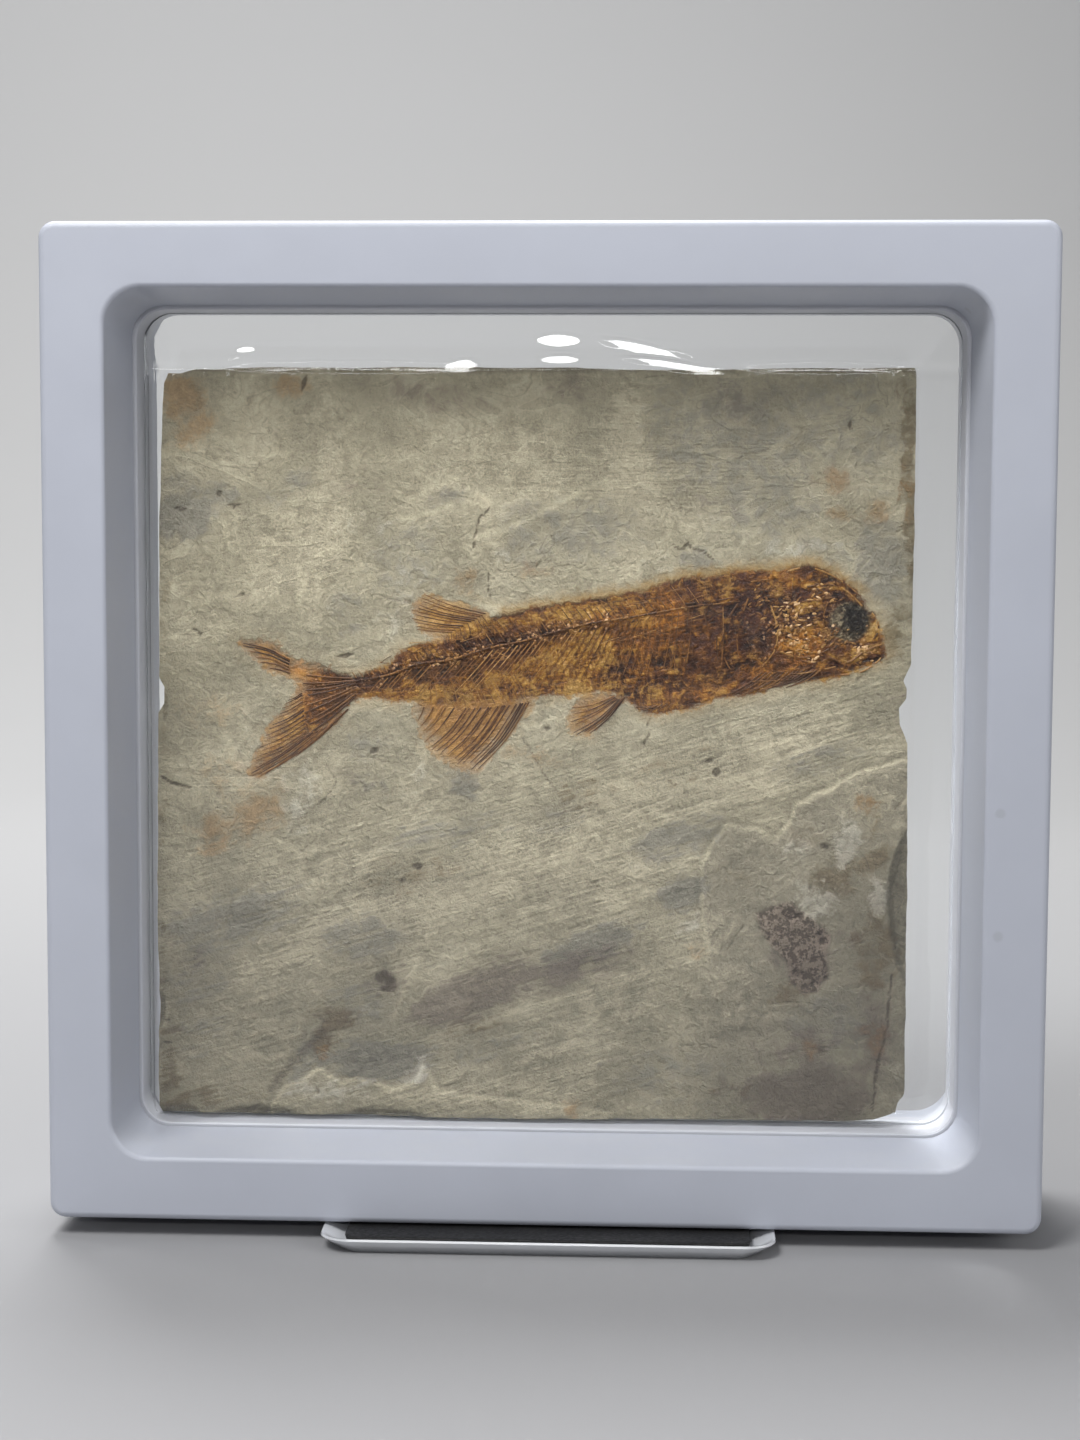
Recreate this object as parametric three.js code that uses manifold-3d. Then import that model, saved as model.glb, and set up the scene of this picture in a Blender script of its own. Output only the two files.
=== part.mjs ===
// A fossil fish slab held between two clear films in a square display frame, on a low tray foot.
// Millimetres, +Z up. The origin is under the middle of the frame, on the table.
// The fish faces -Y, with its head towards +X.
import * as THREE from 'three';
import { mergeVertices } from 'three/addons/utils/BufferGeometryUtils.js';
import Module from 'manifold-3d';

// ---- driving dimensions -------------------------------------------------------------------
const frameSide = 200;
const frameDepth = 50;
const frameBase = 3.5; // the frame's underside above the table
const borderWidth = 13; // flat front border
const wallThickness = 2.2;
const windowHalf = 84.05; // clear half width inside the film rings
const ringDepth = 17.4; // from the frame's front face to the film ring
const touchGap = 0.3; // clearance between pieces that touch
const filmThickness = 0.25;
const slabThickness = 7.5;
const fishRelief = 0.42;
const trayHalf = { x: 45.5, y: 34.5 };
const trayHeight = 3.1; // just under the frame, which crosses the lip at both ends
const trayOffset = 1.5; // the foot stands slightly to the right of the frame's middle
const cornerSteps = 8; // straight steps in each rounded corner

const frameHalf = frameSide / 2;
const frontFace = -frameDepth / 2;
const partingGap = touchGap / 2;
const frameCentre = frameBase + frameHalf;

// ---- helpers ------------------------------------------------------------------------------
const wasm = await Module();
wasm.setup();

// Shared vertices are merged and the flat triangles that the poles leave are dropped.
function closedGeometry(geometry) {
  const source = geometry.clone();
  source.deleteAttribute('normal');
  source.deleteAttribute('uv');
  const merged = mergeVertices(source, 1e-4);
  const index = merged.getIndex();
  const kept = [];
  for (let i = 0; i < index.count; i += 3) {
    const corners = [index.getX(i), index.getX(i + 1), index.getX(i + 2)];
    if (new Set(corners).size === 3) kept.push(...corners);
  }
  merged.setIndex(kept);
  merged.computeVertexNormals();
  return merged;
}

function toSolid(geometry) {
  const merged = closedGeometry(geometry);
  const vertProperties = new Float32Array(merged.getAttribute('position').array);
  const triVerts = new Uint32Array(merged.getIndex().array);
  return new wasm.Manifold(new wasm.Mesh({ numProp: 3, vertProperties, triVerts }));
}

function toGeometry(solid) {
  const mesh = solid.getMesh();
  const geometry = new THREE.BufferGeometry();
  geometry.setAttribute('position', new THREE.BufferAttribute(new Float32Array(mesh.vertProperties), 3));
  geometry.setIndex(new THREE.BufferAttribute(new Uint32Array(mesh.triVerts), 1));
  geometry.computeVertexNormals();
  return geometry;
}

// A lathe whose circles become rounded rectangles in XZ. Each station is
// [half width, level along Y, corner radius], with an optional {x, z, halfZ} for an offset or oblong one.
function squaredLathe(stations) {
  const columns = 4 * (cornerSteps + 1);
  const profile = stations.map(([half, level]) => new THREE.Vector2(half, level));
  const lathe = new THREE.LatheGeometry(profile, columns);
  const position = lathe.getAttribute('position');
  for (let column = 0; column <= columns; column += 1) {
    const quarter = Math.floor((column % columns) / (cornerSteps + 1));
    const step = column % (cornerSteps + 1);
    const angle = (quarter + step / cornerSteps) * (Math.PI / 2);
    const signX = quarter < 2 ? 1 : -1;
    const signZ = quarter === 0 || quarter === 3 ? 1 : -1;
    stations.forEach(([half, level, radius, place = {}], row) => {
      const halfZ = place.halfZ ?? half;
      const x = (place.x ?? 0) + signX * (half - radius) + radius * Math.sin(angle);
      const z = (place.z ?? 0) + signZ * (halfZ - radius) + radius * Math.cos(angle);
      position.setXYZ(column * stations.length + row, x, level, z);
    });
  }
  return closedGeometry(lathe);
}

// Points of an arc in a section, as stations. The corner radius follows the half width.
function arcStations(centre, radius, fromDegrees, toDegrees, steps, cornerAt) {
  const stations = [];
  for (let i = 0; i <= steps; i += 1) {
    const angle = THREE.MathUtils.degToRad(fromDegrees + ((toDegrees - fromDegrees) * i) / steps);
    const half = centre[0] + radius * Math.cos(angle);
    stations.push([half, centre[1] + radius * Math.sin(angle), cornerAt(half)]);
  }
  return stations;
}

function outlineShape(points, smooth) {
  const vectors = points.map(([x, z]) => new THREE.Vector2(x, z));
  const shape = new THREE.Shape();
  if (!smooth) return shape.setFromPoints(vectors);
  const curve = new THREE.CatmullRomCurve3(vectors.map((v) => new THREE.Vector3(v.x, v.y, 0)), true, 'centripetal');
  const samples = curve.getPoints(smooth).slice(0, -1);
  return shape.setFromPoints(samples.map((p) => new THREE.Vector2(p.x, p.y)));
}

// A flat plate whose outline lies in XZ, from the level `front` back to the level `back`.
function plate(points, front, back, smooth = 0) {
  const shape = outlineShape(points, smooth);
  const geometry = new THREE.ExtrudeGeometry(shape, { depth: back - front, bevelEnabled: false });
  geometry.rotateX(Math.PI / 2);
  geometry.translate(0, back, 0);
  return toSolid(geometry);
}

const group = new THREE.Group();

function addPiece(name, geometry, colour, roughness, metalness = 0, extra = {}) {
  const material = new THREE.MeshStandardMaterial({ color: colour, roughness, metalness, ...extra });
  const mesh = new THREE.Mesh(geometry, material);
  mesh.name = name;
  group.add(mesh);
  return mesh;
}

// The back half of a pair is the front half turned round the vertical axis.
function addPair(name, geometry, colour, roughness, extra) {
  const front = addPiece(`${name}_front`, geometry, colour, roughness, 0, extra);
  const back = addPiece(`${name}_back`, geometry.clone(), colour, roughness, 0, extra);
  front.position.z = frameCentre;
  back.position.z = frameCentre;
  back.rotation.z = Math.PI;
}

// ---- frame halves: open-backed moulded channels -------------------------------------------
const edgeRound = 1.5;
const lipRound = 1.0;
const openingHalf = frameHalf - borderWidth;
const shoulder = frontFace + ringDepth;
const shoulderHalf = openingHalf - 2; // the drafted opening at the film ring
const seatHalf = openingHalf + 0.2; // the pocket that the film ring sits in
const outerCorner = (half) => Math.max(3.3 - (frameHalf - half), 0.6);
const innerCorner = (half) => 7.5 + (half - openingHalf) * 0.5;

function frameHalfGeometry() {
  const innerSkin = seatHalf + wallThickness;
  const floorLevel = frontFace + wallThickness;
  const wall = [
    [frameHalf, -partingGap],
    [frameHalf - wallThickness, -partingGap],
    [frameHalf - wallThickness, floorLevel],
  ].map(([half, level]) => [half, level, outerCorner(half)]);
  const opening = [
    [openingHalf + wallThickness - 0.2, floorLevel],
    [shoulderHalf + wallThickness + 0.3, shoulder - wallThickness - 1],
    [innerSkin, shoulder - 1],
    [innerSkin, -partingGap],
    [seatHalf, -partingGap],
    [seatHalf, shoulder],
    [shoulderHalf, shoulder],
  ].map(([half, level]) => [half, level, innerCorner(half)]);
  const outerEdge = arcStations([frameHalf - edgeRound, frontFace + edgeRound], edgeRound, -90, 0, 3, outerCorner);
  const innerLip = arcStations([openingHalf + lipRound, frontFace + lipRound], lipRound, 180, 270, 3, innerCorner);
  return squaredLathe([...outerEdge, ...wall, ...opening, ...innerLip, outerEdge[0]]);
}

addPair('frame', frameHalfGeometry(), 0xb5b7c4, 0.42);

// ---- film rings ---------------------------------------------------------------------------
function filmRingGeometry() {
  const outer = seatHalf - touchGap;
  const face = shoulder + touchGap;
  const rim = -0.75;
  const chamfer = 0.3;
  const section = [
    [outer, face],
    [outer, rim],
    [windowHalf, rim],
    [windowHalf + 0.2, face + chamfer],
    [windowHalf + 0.2 + chamfer, face],
    [outer, face],
  ];
  return squaredLathe(section.map(([half, level]) => [half, level, innerCorner(half)]));
}

addPair('film_ring', filmRingGeometry(), 0xc4c5cd, 0.4);

// ---- clear films: flat in the rings, tented over the slab ---------------------------------
const slabEdge = { left: -81.7, right: 74.7, bottom: -83.3, top: 72 };
const filmClear = 0.4; // between the slab's sawn edges and the film's fold
const filmLevel = -(slabThickness / 2 + fishRelief + touchGap); // the film's inner face over the slab

// The turned back film sees the slab mirrored, so its tent sits on the other side.
function filmGeometry(mirror) {
  const half = (slabEdge.right - slabEdge.left) / 2 + filmClear;
  const place = {
    x: (mirror * (slabEdge.right + slabEdge.left)) / 2,
    z: (slabEdge.top + slabEdge.bottom) / 2,
    halfZ: (slabEdge.top - slabEdge.bottom) / 2 + filmClear,
  };
  const rimLevel = -0.2;
  const rimHalf = seatHalf - touchGap - 0.1;
  const foldCorner = 1.5;
  const windowCorner = innerCorner(windowHalf);
  return squaredLathe([
    [0, filmLevel - filmThickness, 0, { ...place, halfZ: 0 }],
    [half, filmLevel - filmThickness, foldCorner, place],
    [windowHalf - 0.1, rimLevel - filmThickness, windowCorner],
    [rimHalf, rimLevel - filmThickness, innerCorner(rimHalf)],
    [rimHalf, rimLevel, innerCorner(rimHalf)],
    [windowHalf - 0.1, rimLevel, windowCorner],
    [half, filmLevel, foldCorner, place],
    [0, filmLevel, 0, { ...place, halfZ: 0 }],
  ]);
}

const filmLook = { transparent: true, opacity: 0.2 };
const filmFront = addPiece('film_front', filmGeometry(1), 0xf2f4f5, 0.08, 0, filmLook);
filmFront.position.z = frameCentre;
const filmBack = addPiece('film_back', filmGeometry(-1), 0xf2f4f5, 0.08, 0, filmLook);
filmBack.position.z = frameCentre;
filmBack.rotation.z = Math.PI;

// ---- slab and fish: one stone, with its bedding steps and the fish in low relief ----------
const slabOutline = [
  [-79, 70.4], [-78, 71.7], [-62, 71.8], [-31, 71.9], [0, 72], [29, 71.3], [55, 71.9], [73.9, 72],
  [74.7, 71.2], [74.6, 34], [74.5, 11], [72.9, 7.6], [73.7, 6], [73.5, 4], [72, 2], [72.2, -1.5],
  [74, -5.5], [74.2, -20], [74.5, -38], [74.6, -78.4], [73, -80], [71.8, -80.8], [69.6, -82], [66, -82.4],
  [40, -82.8], [12, -83], [-4, -83.2], [-32, -83.3], [-44, -82.9], [-60, -83.2], [-72, -82.8], [-80.8, -83.1],
  [-81.7, -82.2], [-81.6, -40], [-81.2, 1.5], [-79.8, 3.5], [-79.6, 7], [-80.8, 9], [-80.7, 40],
];
// A thicker bed covers the lower right; its broken edge runs down from the right side.
const raisedBed = [
  [73.4, -7], [66, -9.6], [60.5, -12.6], [57, -14.4], [51.4, -16.4], [50, -20.4], [46, -23], [42.6, -21.6],
  [38, -21.2], [35, -24], [33, -29], [32.6, -37], [34, -48], [31, -62], [33, -80.6], [52, -80.4], [68.6, -79.8],
  [71, -76], [71.2, -56], [69.4, -42], [69.6, -32], [71.6, -24], [73.2, -18],
];

// Outline of the flattened body, from the snout over the back to the tail root and along the belly.
const bodyOutline = [
  [69.2, 16.2], [68, 20], [65.8, 24.6], [60.2, 30], [53, 32.8], [42, 31.8], [27, 30.2], [16, 27],
  [0, 24.4], [-13, 22], [-21, 17.4], [-31, 14.4], [-36, 10.5], [-44, 10.9], [-50, 12.6], [-51, 7],
  [-50, -4.6], [-44, -0.8], [-38, 4.6], [-24, 4.4], [-4, 5], [12, 6], [19, 2.4], [28, 2.8], [45, 6.8],
  [58, 9.2], [66, 12.2],
];
const tailOutline = [
  [-46, 11.6], [-54, 14.2], [-57, 16.8], [-62.6, 16.4], [-60, 12.4], [-55, 9.4], [-51, 6.6], [-55.5, 2],
  [-59, -4], [-62.4, -11.6], [-60.4, -12], [-53, -8], [-46, -2],
];
const dorsalOutline = [[-12.8, 22.8], [-25.4, 26.4], [-28.2, 23.4], [-28, 19.4], [-19, 18]];
const analOutline = [
  [-3.4, 4.6], [-6.5, -1.6], [-14.4, -10.2], [-19, -8.4], [-24.6, -5.8], [-27, 0.6], [-27.6, 4],
];
const pelvicOutline = [[16.4, 5.8], [13.2, 2.8], [8.6, -2], [5, -1.8], [4.2, 1], [6.4, 5.2]];

function slabGeometry() {
  const face = -slabThickness / 2;
  const root = face + 1.5; // every raised layer starts inside the stone
  const bedFace = face - 0.2;
  const finFace = face - 0.15;
  const bodyFace = face - 0.3;
  const stone = plate(slabOutline, face, -face);
  const layers = [
    plate(raisedBed, bedFace, root, 50),
    plate(bodyOutline, bodyFace, root, 72),
    plate(tailOutline, finFace, root, 36),
    plate(dorsalOutline, finFace, root, 20),
    plate(analOutline, finFace, root, 24),
    plate(pelvicOutline, finFace, root, 18),
  ];
  const boneLength = 2;
  const boneLevel = face - fishRelief + boneLength / 2; // bones and eye stand highest
  const eye = new THREE.CylinderGeometry(4.3, 4.3, boneLength, 20);
  eye.translate(61.8, boneLevel, 21.5);
  const spine = new THREE.CatmullRomCurve3(
    [[-46, 7.6], [-30, 10], [-20, 13], [-5, 17], [17, 22], [38, 25]].map(([x, z]) => new THREE.Vector3(x, 0, z)),
  );
  const vertebrae = [];
  const vertebraCount = 34;
  for (let i = 0; i < vertebraCount; i += 1) {
    const centre = spine.getPoint(i / (vertebraCount - 1));
    const bone = new THREE.CylinderGeometry(0.85, 0.95, boneLength, 7);
    bone.translate(centre.x, boneLevel, centre.z);
    vertebrae.push(toSolid(bone));
  }
  return toGeometry(wasm.Manifold.union([stone, ...layers, toSolid(eye), ...vertebrae]));
}

const slab = addPiece('fossil_slab', slabGeometry(), 0x96907d, 0.85);
slab.position.z = frameCentre;

// ---- foot: flared tray and the mat in it --------------------------------------------------
const trayFloor = 1.0;
const trayLip = 0.8;

function trayGeometry() {
  const ovalRing = (halfX, halfY, level, radius) => [halfX, level, radius, { halfZ: halfY }];
  return squaredLathe([
    [0, 0, 0, { halfZ: 0 }],
    ovalRing(trayHalf.x - 4.7, trayHalf.y - 2, 0, 4),
    ovalRing(trayHalf.x - 0.5, trayHalf.y - 0.3, trayHeight - 0.9, 6),
    ovalRing(trayHalf.x, trayHalf.y, trayHeight - 0.4, 6.2),
    ovalRing(trayHalf.x - 0.15, trayHalf.y - 0.15, trayHeight, 6.1),
    ovalRing(trayHalf.x - trayLip, trayHalf.y - trayLip, trayHeight - 0.1, 5.6),
    ovalRing(trayHalf.x - 5, trayHalf.y - 1.9, trayFloor, 3.8),
    [0, trayFloor, 0, { halfZ: 0 }],
  ]);
}

function matGeometry() {
  const matTop = frameBase - touchGap;
  const matBase = trayFloor + touchGap;
  const halfX = trayHalf.x - 5.4;
  const halfY = trayHalf.y - 2.3;
  return squaredLathe([
    [0, matBase, 0, { halfZ: 0 }],
    [halfX, matBase, 3, { halfZ: halfY }],
    [halfX + 0.4, matTop - 0.3, 3.2, { halfZ: halfY + 0.5 }],
    [halfX + 0.1, matTop, 3, { halfZ: halfY + 0.2 }],
    [0, matTop, 0, { halfZ: 0 }],
  ]);
}

// The lathes stand along Y, so the foot's pieces are turned up onto Z.
for (const [name, geometry, colour, roughness] of [
  ['stand_tray', trayGeometry(), 0xe9eaec, 0.25],
  ['stand_mat', matGeometry(), 0x17181a, 0.6],
]) {
  geometry.rotateX(Math.PI / 2);
  addPiece(name, geometry, colour, roughness).position.x = trayOffset;
}

export default group;
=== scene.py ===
import math

import bmesh
import bpy
import numpy as np
from mathutils import Matrix, Vector


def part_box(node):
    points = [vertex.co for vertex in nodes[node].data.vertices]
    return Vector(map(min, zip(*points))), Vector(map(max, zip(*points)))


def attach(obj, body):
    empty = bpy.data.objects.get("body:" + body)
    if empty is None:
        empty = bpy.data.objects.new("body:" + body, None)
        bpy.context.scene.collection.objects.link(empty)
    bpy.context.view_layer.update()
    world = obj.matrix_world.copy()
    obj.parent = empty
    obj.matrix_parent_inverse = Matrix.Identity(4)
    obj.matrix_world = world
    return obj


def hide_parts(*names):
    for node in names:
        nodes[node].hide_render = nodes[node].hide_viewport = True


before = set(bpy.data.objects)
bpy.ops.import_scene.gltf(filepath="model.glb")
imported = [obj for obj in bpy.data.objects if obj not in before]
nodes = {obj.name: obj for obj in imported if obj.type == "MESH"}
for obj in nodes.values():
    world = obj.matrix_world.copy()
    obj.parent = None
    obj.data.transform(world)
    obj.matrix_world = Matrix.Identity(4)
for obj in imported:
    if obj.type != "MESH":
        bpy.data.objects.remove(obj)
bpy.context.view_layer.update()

mm = 0.001
frameLow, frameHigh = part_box("frame_front")
centreZ = (frameLow.z + frameHigh.z) / 2 / mm  # height of the frame's middle, in mm
filmLow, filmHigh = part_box("film_front")


studio = {
    "cameraPlace": (21.4, -497.3, 41.5),  # mm from the frame's middle
    "cameraRight": (0.99889, 0.04689, 0.00433),
    "cameraUp": (-0.00818, 0.08213, 0.99659),
    "lens": 60,
    "floorTone": (166, 166, 168),
    "wallTone": (211, 211, 211),
    "floorHalf": 3.0,
    "sweepStart": 0.75,
    "sweepRadius": 0.7,
    "wallHeight": 3.0,
    "world": (0.93, 0.95, 1.0),
    "worldStrength": 0.135,
    "keyPlace": (-0.25, -0.36, 0.68),
    "keySize": 0.3,
    "keyWatts": 4.1,
    "sidePlace": (0.75, -0.35, 0.45),
    "sideWatts": 1.9,
    "topPlace": (-0.16, 0.40, 1.2),
    "topSize": 0.45,
    "topWatts": 15.0,
    "wallPlace": (-0.8, 0.35, 1.6),
    "wallWatts": 10.5,
    "stripPlace": (0.0, -1.6, 0.645),
    "stripWidth": 1.1,
    "stripHeight": 0.085,
    "stripWatts": 5.6,
}


def point(x, y, z):  # mm from the frame's middle, as metres in the row frame
    return Vector((x * mm, y * mm, (z + centreZ) * mm))


def srgb(red, green, blue):
    def linear(value):
        value = value / 255
        return value / 12.92 if value <= 0.04045 else ((value + 0.055) / 1.055) ** 2.4

    return (linear(red), linear(green), linear(blue), 1.0)


def makeCamera():
    right = Vector(studio["cameraRight"]).normalized()
    up = Vector(studio["cameraUp"]).normalized()
    back = right.cross(up).normalized()
    up = back.cross(right)
    camera = bpy.data.objects.new("camera", bpy.data.cameras.new("camera"))
    camera.data.lens = studio["lens"]
    camera.data.sensor_width = 36
    camera.data.sensor_fit = "AUTO"
    camera.data.clip_start = 0.01
    turn = Matrix((right, up, back)).transposed().to_4x4()
    camera.matrix_world = Matrix.Translation(point(*studio["cameraPlace"])) @ turn
    bpy.context.scene.collection.objects.link(camera)
    bpy.context.scene.camera = camera


def aimedLight(name, kind, place, target, watts, size, height=None, colour=(1, 1, 1)):
    light = bpy.data.lights.new(name, "AREA")
    light.shape = kind
    light.size = size
    light.size_y = height or size
    light.energy = watts
    light.color = colour
    lamp = bpy.data.objects.new(name, light)
    lamp.location = place
    lamp.rotation_euler = (Vector(target) - Vector(place)).to_track_quat("-Z", "Y").to_euler()
    bpy.context.scene.collection.objects.link(lamp)
    return lamp


def makeLamps():
    world = bpy.data.worlds.new("studio")
    world.use_nodes = True
    background = world.node_tree.nodes["Background"]
    background.inputs["Color"].default_value = (*studio["world"], 1)
    background.inputs["Strength"].default_value = studio["worldStrength"]
    bpy.context.scene.world = world
    bpy.context.scene.view_settings.view_transform = "Standard"
    middle = point(0, 0, 0)
    aimedLight("key", "SQUARE", studio["keyPlace"], middle, studio["keyWatts"], studio["keySize"])
    aimedLight("top", "SQUARE", studio["topPlace"], middle, studio["topWatts"], studio["topSize"])
    aimedLight("side", "SQUARE", studio["sidePlace"], middle, studio["sideWatts"], 0.5)
    aimedLight("wallWash", "SQUARE", studio["wallPlace"], (-0.4, 1.45, 1.15), studio["wallWatts"], 0.5)
    aimedLight("strip", "RECTANGLE", studio["stripPlace"], point(0, 0, 75), studio["stripWatts"],
               studio["stripWidth"], studio["stripHeight"])


def makeBackdrop():  # a floor that sweeps up into the wall behind
    bm = bmesh.new()
    radius = studio["sweepRadius"]
    profile = [(-studio["floorHalf"], 0.0), (studio["sweepStart"], 0.0)]
    sweepSteps = 12
    for step in range(1, sweepSteps + 1):
        angle = step / sweepSteps * math.pi / 2
        profile.append((studio["sweepStart"] + radius * math.sin(angle), radius - radius * math.cos(angle)))
    profile.append((studio["sweepStart"] + radius, studio["wallHeight"]))
    row = [bm.verts.new((-studio["floorHalf"], y, z)) for y, z in profile]
    edges = [bm.edges.new(pair) for pair in zip(row, row[1:])]
    swept = bmesh.ops.extrude_edge_only(bm, edges=edges)["geom"]
    moved = [item for item in swept if isinstance(item, bmesh.types.BMVert)]
    bmesh.ops.translate(bm, verts=moved, vec=(2 * studio["floorHalf"], 0, 0))
    bmesh.ops.recalc_face_normals(bm, faces=bm.faces)
    mesh = bpy.data.meshes.new("floor")
    bm.to_mesh(mesh)
    bm.free()
    smoothFaces(mesh)
    floor = bpy.data.objects.new("floor", mesh)
    bpy.context.scene.collection.objects.link(floor)
    material = newMaterial("floorPaper")
    tree = material.tree
    place = put(tree, "SeparateXYZ", {0: put(tree, "TexCoord").outputs["Object"]}).outputs
    # the paper is painted darker in front, low on the sweep and to the right: painted shade where the light
    # falls off
    tone = tinted(tree, ease(tree, place["Y"], -0.1, 0.9), srgb(*studio["floorTone"]), studio["wallTone"])
    lowPaintedShade = ease(tree, place["Z"], 0.05, 0.9, 0.84, 1.0)
    rightPaintedShade = ease(tree, place["X"], -0.5, 0.7, 1.0, 0.86)
    tone = shaded(tree, tone, times(tree, lowPaintedShade, rightPaintedShade))
    link(tree, tone, material.shader.inputs["Base Color"])
    material.shader.inputs["Roughness"].default_value = 0.8
    mesh.materials.append(material.block)


class newMaterial:  # a material with its Principled shader at hand
    def __init__(self, name):
        self.block = bpy.data.materials.new(name)
        self.block.use_nodes = True
        self.tree = self.block.node_tree
        self.shader = self.tree.nodes["Principled BSDF"]
        self.output = self.tree.nodes["Material Output"]


def put(tree, kind, inputs=None, **settings):
    node = tree.nodes.new("ShaderNode" + kind)
    for name, value in settings.items():
        setattr(node, name, value)
    for name, value in (inputs or {}).items():
        if isinstance(value, bpy.types.NodeSocket):
            tree.links.new(value, node.inputs[name])
        else:
            node.inputs[name].default_value = value
    return node


def link(tree, source, target):
    if isinstance(source, bpy.types.NodeSocket):
        tree.links.new(source, target)
    else:
        target.default_value = source


def calc(tree, operation, first, second=0.0, clamp=False):
    node = tree.nodes.new("ShaderNodeMath")
    node.operation = operation
    node.use_clamp = clamp
    link(tree, first, node.inputs[0])
    link(tree, second, node.inputs[1])
    return node.outputs[0]


def times(tree, first, second):
    return calc(tree, "MULTIPLY", first, second)


def plus(tree, first, second):
    return calc(tree, "ADD", first, second)


def mixTone(tree, factor, first, second, mode="MIX"):
    node = put(tree, "Mix", data_type="RGBA", blend_type=mode)
    link(tree, factor, node.inputs[0])
    link(tree, first, node.inputs[6])
    link(tree, second, node.inputs[7])
    return node.outputs[2]


def tinted(tree, share, tone, colour):  # some of an sRGB colour over a tone
    return mixTone(tree, share, tone, srgb(*colour))


def shaded(tree, tone, level):  # a tone made lighter or darker by a level
    grey = put(tree, "CombineColor", {"Red": level, "Green": level, "Blue": level}).outputs[0]
    return mixTone(tree, 1.0, tone, grey, "MULTIPLY")


def ease(tree, value, low, high, start=0.0, end=1.0):
    node = put(tree, "MapRange", interpolation_type="SMOOTHSTEP")
    link(tree, value, node.inputs["Value"])
    for name, number in (("From Min", low), ("From Max", high), ("To Min", start), ("To Max", end)):
        node.inputs[name].default_value = number
    return node.outputs["Result"]


def noise(tree, vector, scale, detail=2.0, roughness=0.5, distortion=0.0):
    inputs = {"Vector": vector, "Scale": scale, "Detail": detail}
    inputs.update({"Roughness": roughness, "Distortion": distortion})
    return put(tree, "TexNoise", inputs).outputs[0]


def ramp(tree, value, stops):
    node = put(tree, "ValToRGB")
    link(tree, value, node.inputs[0])
    elements = node.color_ramp.elements
    while len(elements) < len(stops):
        elements.new(0.5)
    for element, (place, tone) in zip(elements, stops):
        element.position = place
        element.color = tone
    return node.outputs[0]


def toneRamp(tree, value, stops):  # stops with sRGB colours
    return ramp(tree, value, [(stop, srgb(*tone)) for stop, tone in stops])


def mark(tree, name):
    return put(tree, "Attribute", attribute_name=name).outputs["Fac"]


def millimetres(tree):  # Object coordinates in mm from the frame's middle
    coords = put(tree, "TexCoord").outputs["Object"]
    inputs = {"Vector": coords, "Location": (0, 0, -centreZ), "Scale": (1 / mm, 1 / mm, 1 / mm)}
    return put(tree, "Mapping", inputs).outputs[0]


def newGroup(name, inputs, outputs):
    group = bpy.data.node_groups.new(name, "ShaderNodeTree")
    for label, kind, value in inputs:
        socket = group.interface.new_socket(label, in_out="INPUT", socket_type=kind)
        if value is not None:
            socket.default_value = value
    for label, kind in outputs:
        group.interface.new_socket(label, in_out="OUTPUT", socket_type=kind)
    entry = group.nodes.new("NodeGroupInput")
    leave = group.nodes.new("NodeGroupOutput")
    return group, entry.outputs, leave.inputs


def useGroup(tree, group, inputs):
    node = put(tree, "Group", node_tree=group)
    for name, value in inputs.items():
        link(tree, value, node.inputs[name])
    return node.outputs


def makeStreakGroup():  # long scrape marks: noise drawn out along one direction
    group, entry, leave = newGroup(
        "scrapeMarks",
        [("Vector", "NodeSocketVector", None), ("Turn", "NodeSocketFloat", 0.0),
         ("Along", "NodeSocketFloat", 10.0), ("Across", "NodeSocketFloat", 0.6)],
        [("Value", "NodeSocketFloat")],
    )
    inputs = {"Vector": entry["Vector"], "Angle": entry["Turn"]}
    turned = put(group, "VectorRotate", inputs, rotation_type="Y_AXIS")
    size = put(group, "CombineXYZ", {"X": entry["Along"], "Y": entry["Along"], "Z": entry["Across"]})
    drawn = put(group, "VectorMath", {0: turned.outputs[0], 1: size.outputs[0]}, operation="DIVIDE")
    value = noise(group, drawn.outputs[0], 1.0, 3.0, 0.6)
    group.links.new(value, leave["Value"])
    return group


def makeSpeckGroup():  # scattered grains of one size
    group, entry, leave = newGroup(
        "scatteredGrains",
        [("Vector", "NodeSocketVector", None), ("Size", "NodeSocketFloat", 1.0),
         ("Share", "NodeSocketFloat", 0.3)],
        [("Mask", "NodeSocketFloat")],
    )
    drawn = put(group, "VectorMath", {0: entry["Vector"], "Scale": 1.0}, operation="SCALE")
    group.links.new(calc(group, "DIVIDE", 1.0, entry["Size"]), drawn.inputs["Scale"])
    cell = put(group, "TexVoronoi", {"Vector": drawn.outputs[0], "Scale": 1.0, "Randomness": 1.0})
    picked = calc(group, "LESS_THAN", cell.outputs["Color"], entry["Share"])
    near = ease(group, cell.outputs["Distance"], 0.45, 0.2)
    group.links.new(times(group, picked, near), leave["Mask"])
    return group


def makeDustGroup():  # dust that settles on upward faces and in patches
    group, entry, leave = newGroup(
        "settledDust",
        [("Vector", "NodeSocketVector", None), ("Amount", "NodeSocketFloat", 0.3)],
        [("Mask", "NodeSocketFloat")],
    )
    normal = put(group, "NewGeometry").outputs["Normal"]
    upward = ease(group, put(group, "SeparateXYZ", {0: normal}).outputs["Z"], 0.1, 0.95, 0.25, 1.0)
    patches = ease(group, noise(group, entry["Vector"], 0.11, 4.0, 0.65), 0.42, 0.7)
    specks = ease(group, noise(group, entry["Vector"], 2.1, 2.0, 0.6), 0.62, 0.74)
    both = plus(group, times(group, patches, 0.5), specks)
    settled = calc(group, "MULTIPLY", times(group, both, upward), entry["Amount"], True)
    group.links.new(settled, leave["Mask"])
    return group


scrapeMarks = makeStreakGroup()
scatteredGrains = makeSpeckGroup()
settledDust = makeDustGroup()


def scrapes(tree, place, degrees, along, across):  # marks along one direction, their sizes in mm
    inputs = {"Vector": place, "Turn": math.radians(degrees), "Along": along, "Across": across}
    return useGroup(tree, scrapeMarks, inputs)[0]


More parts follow.
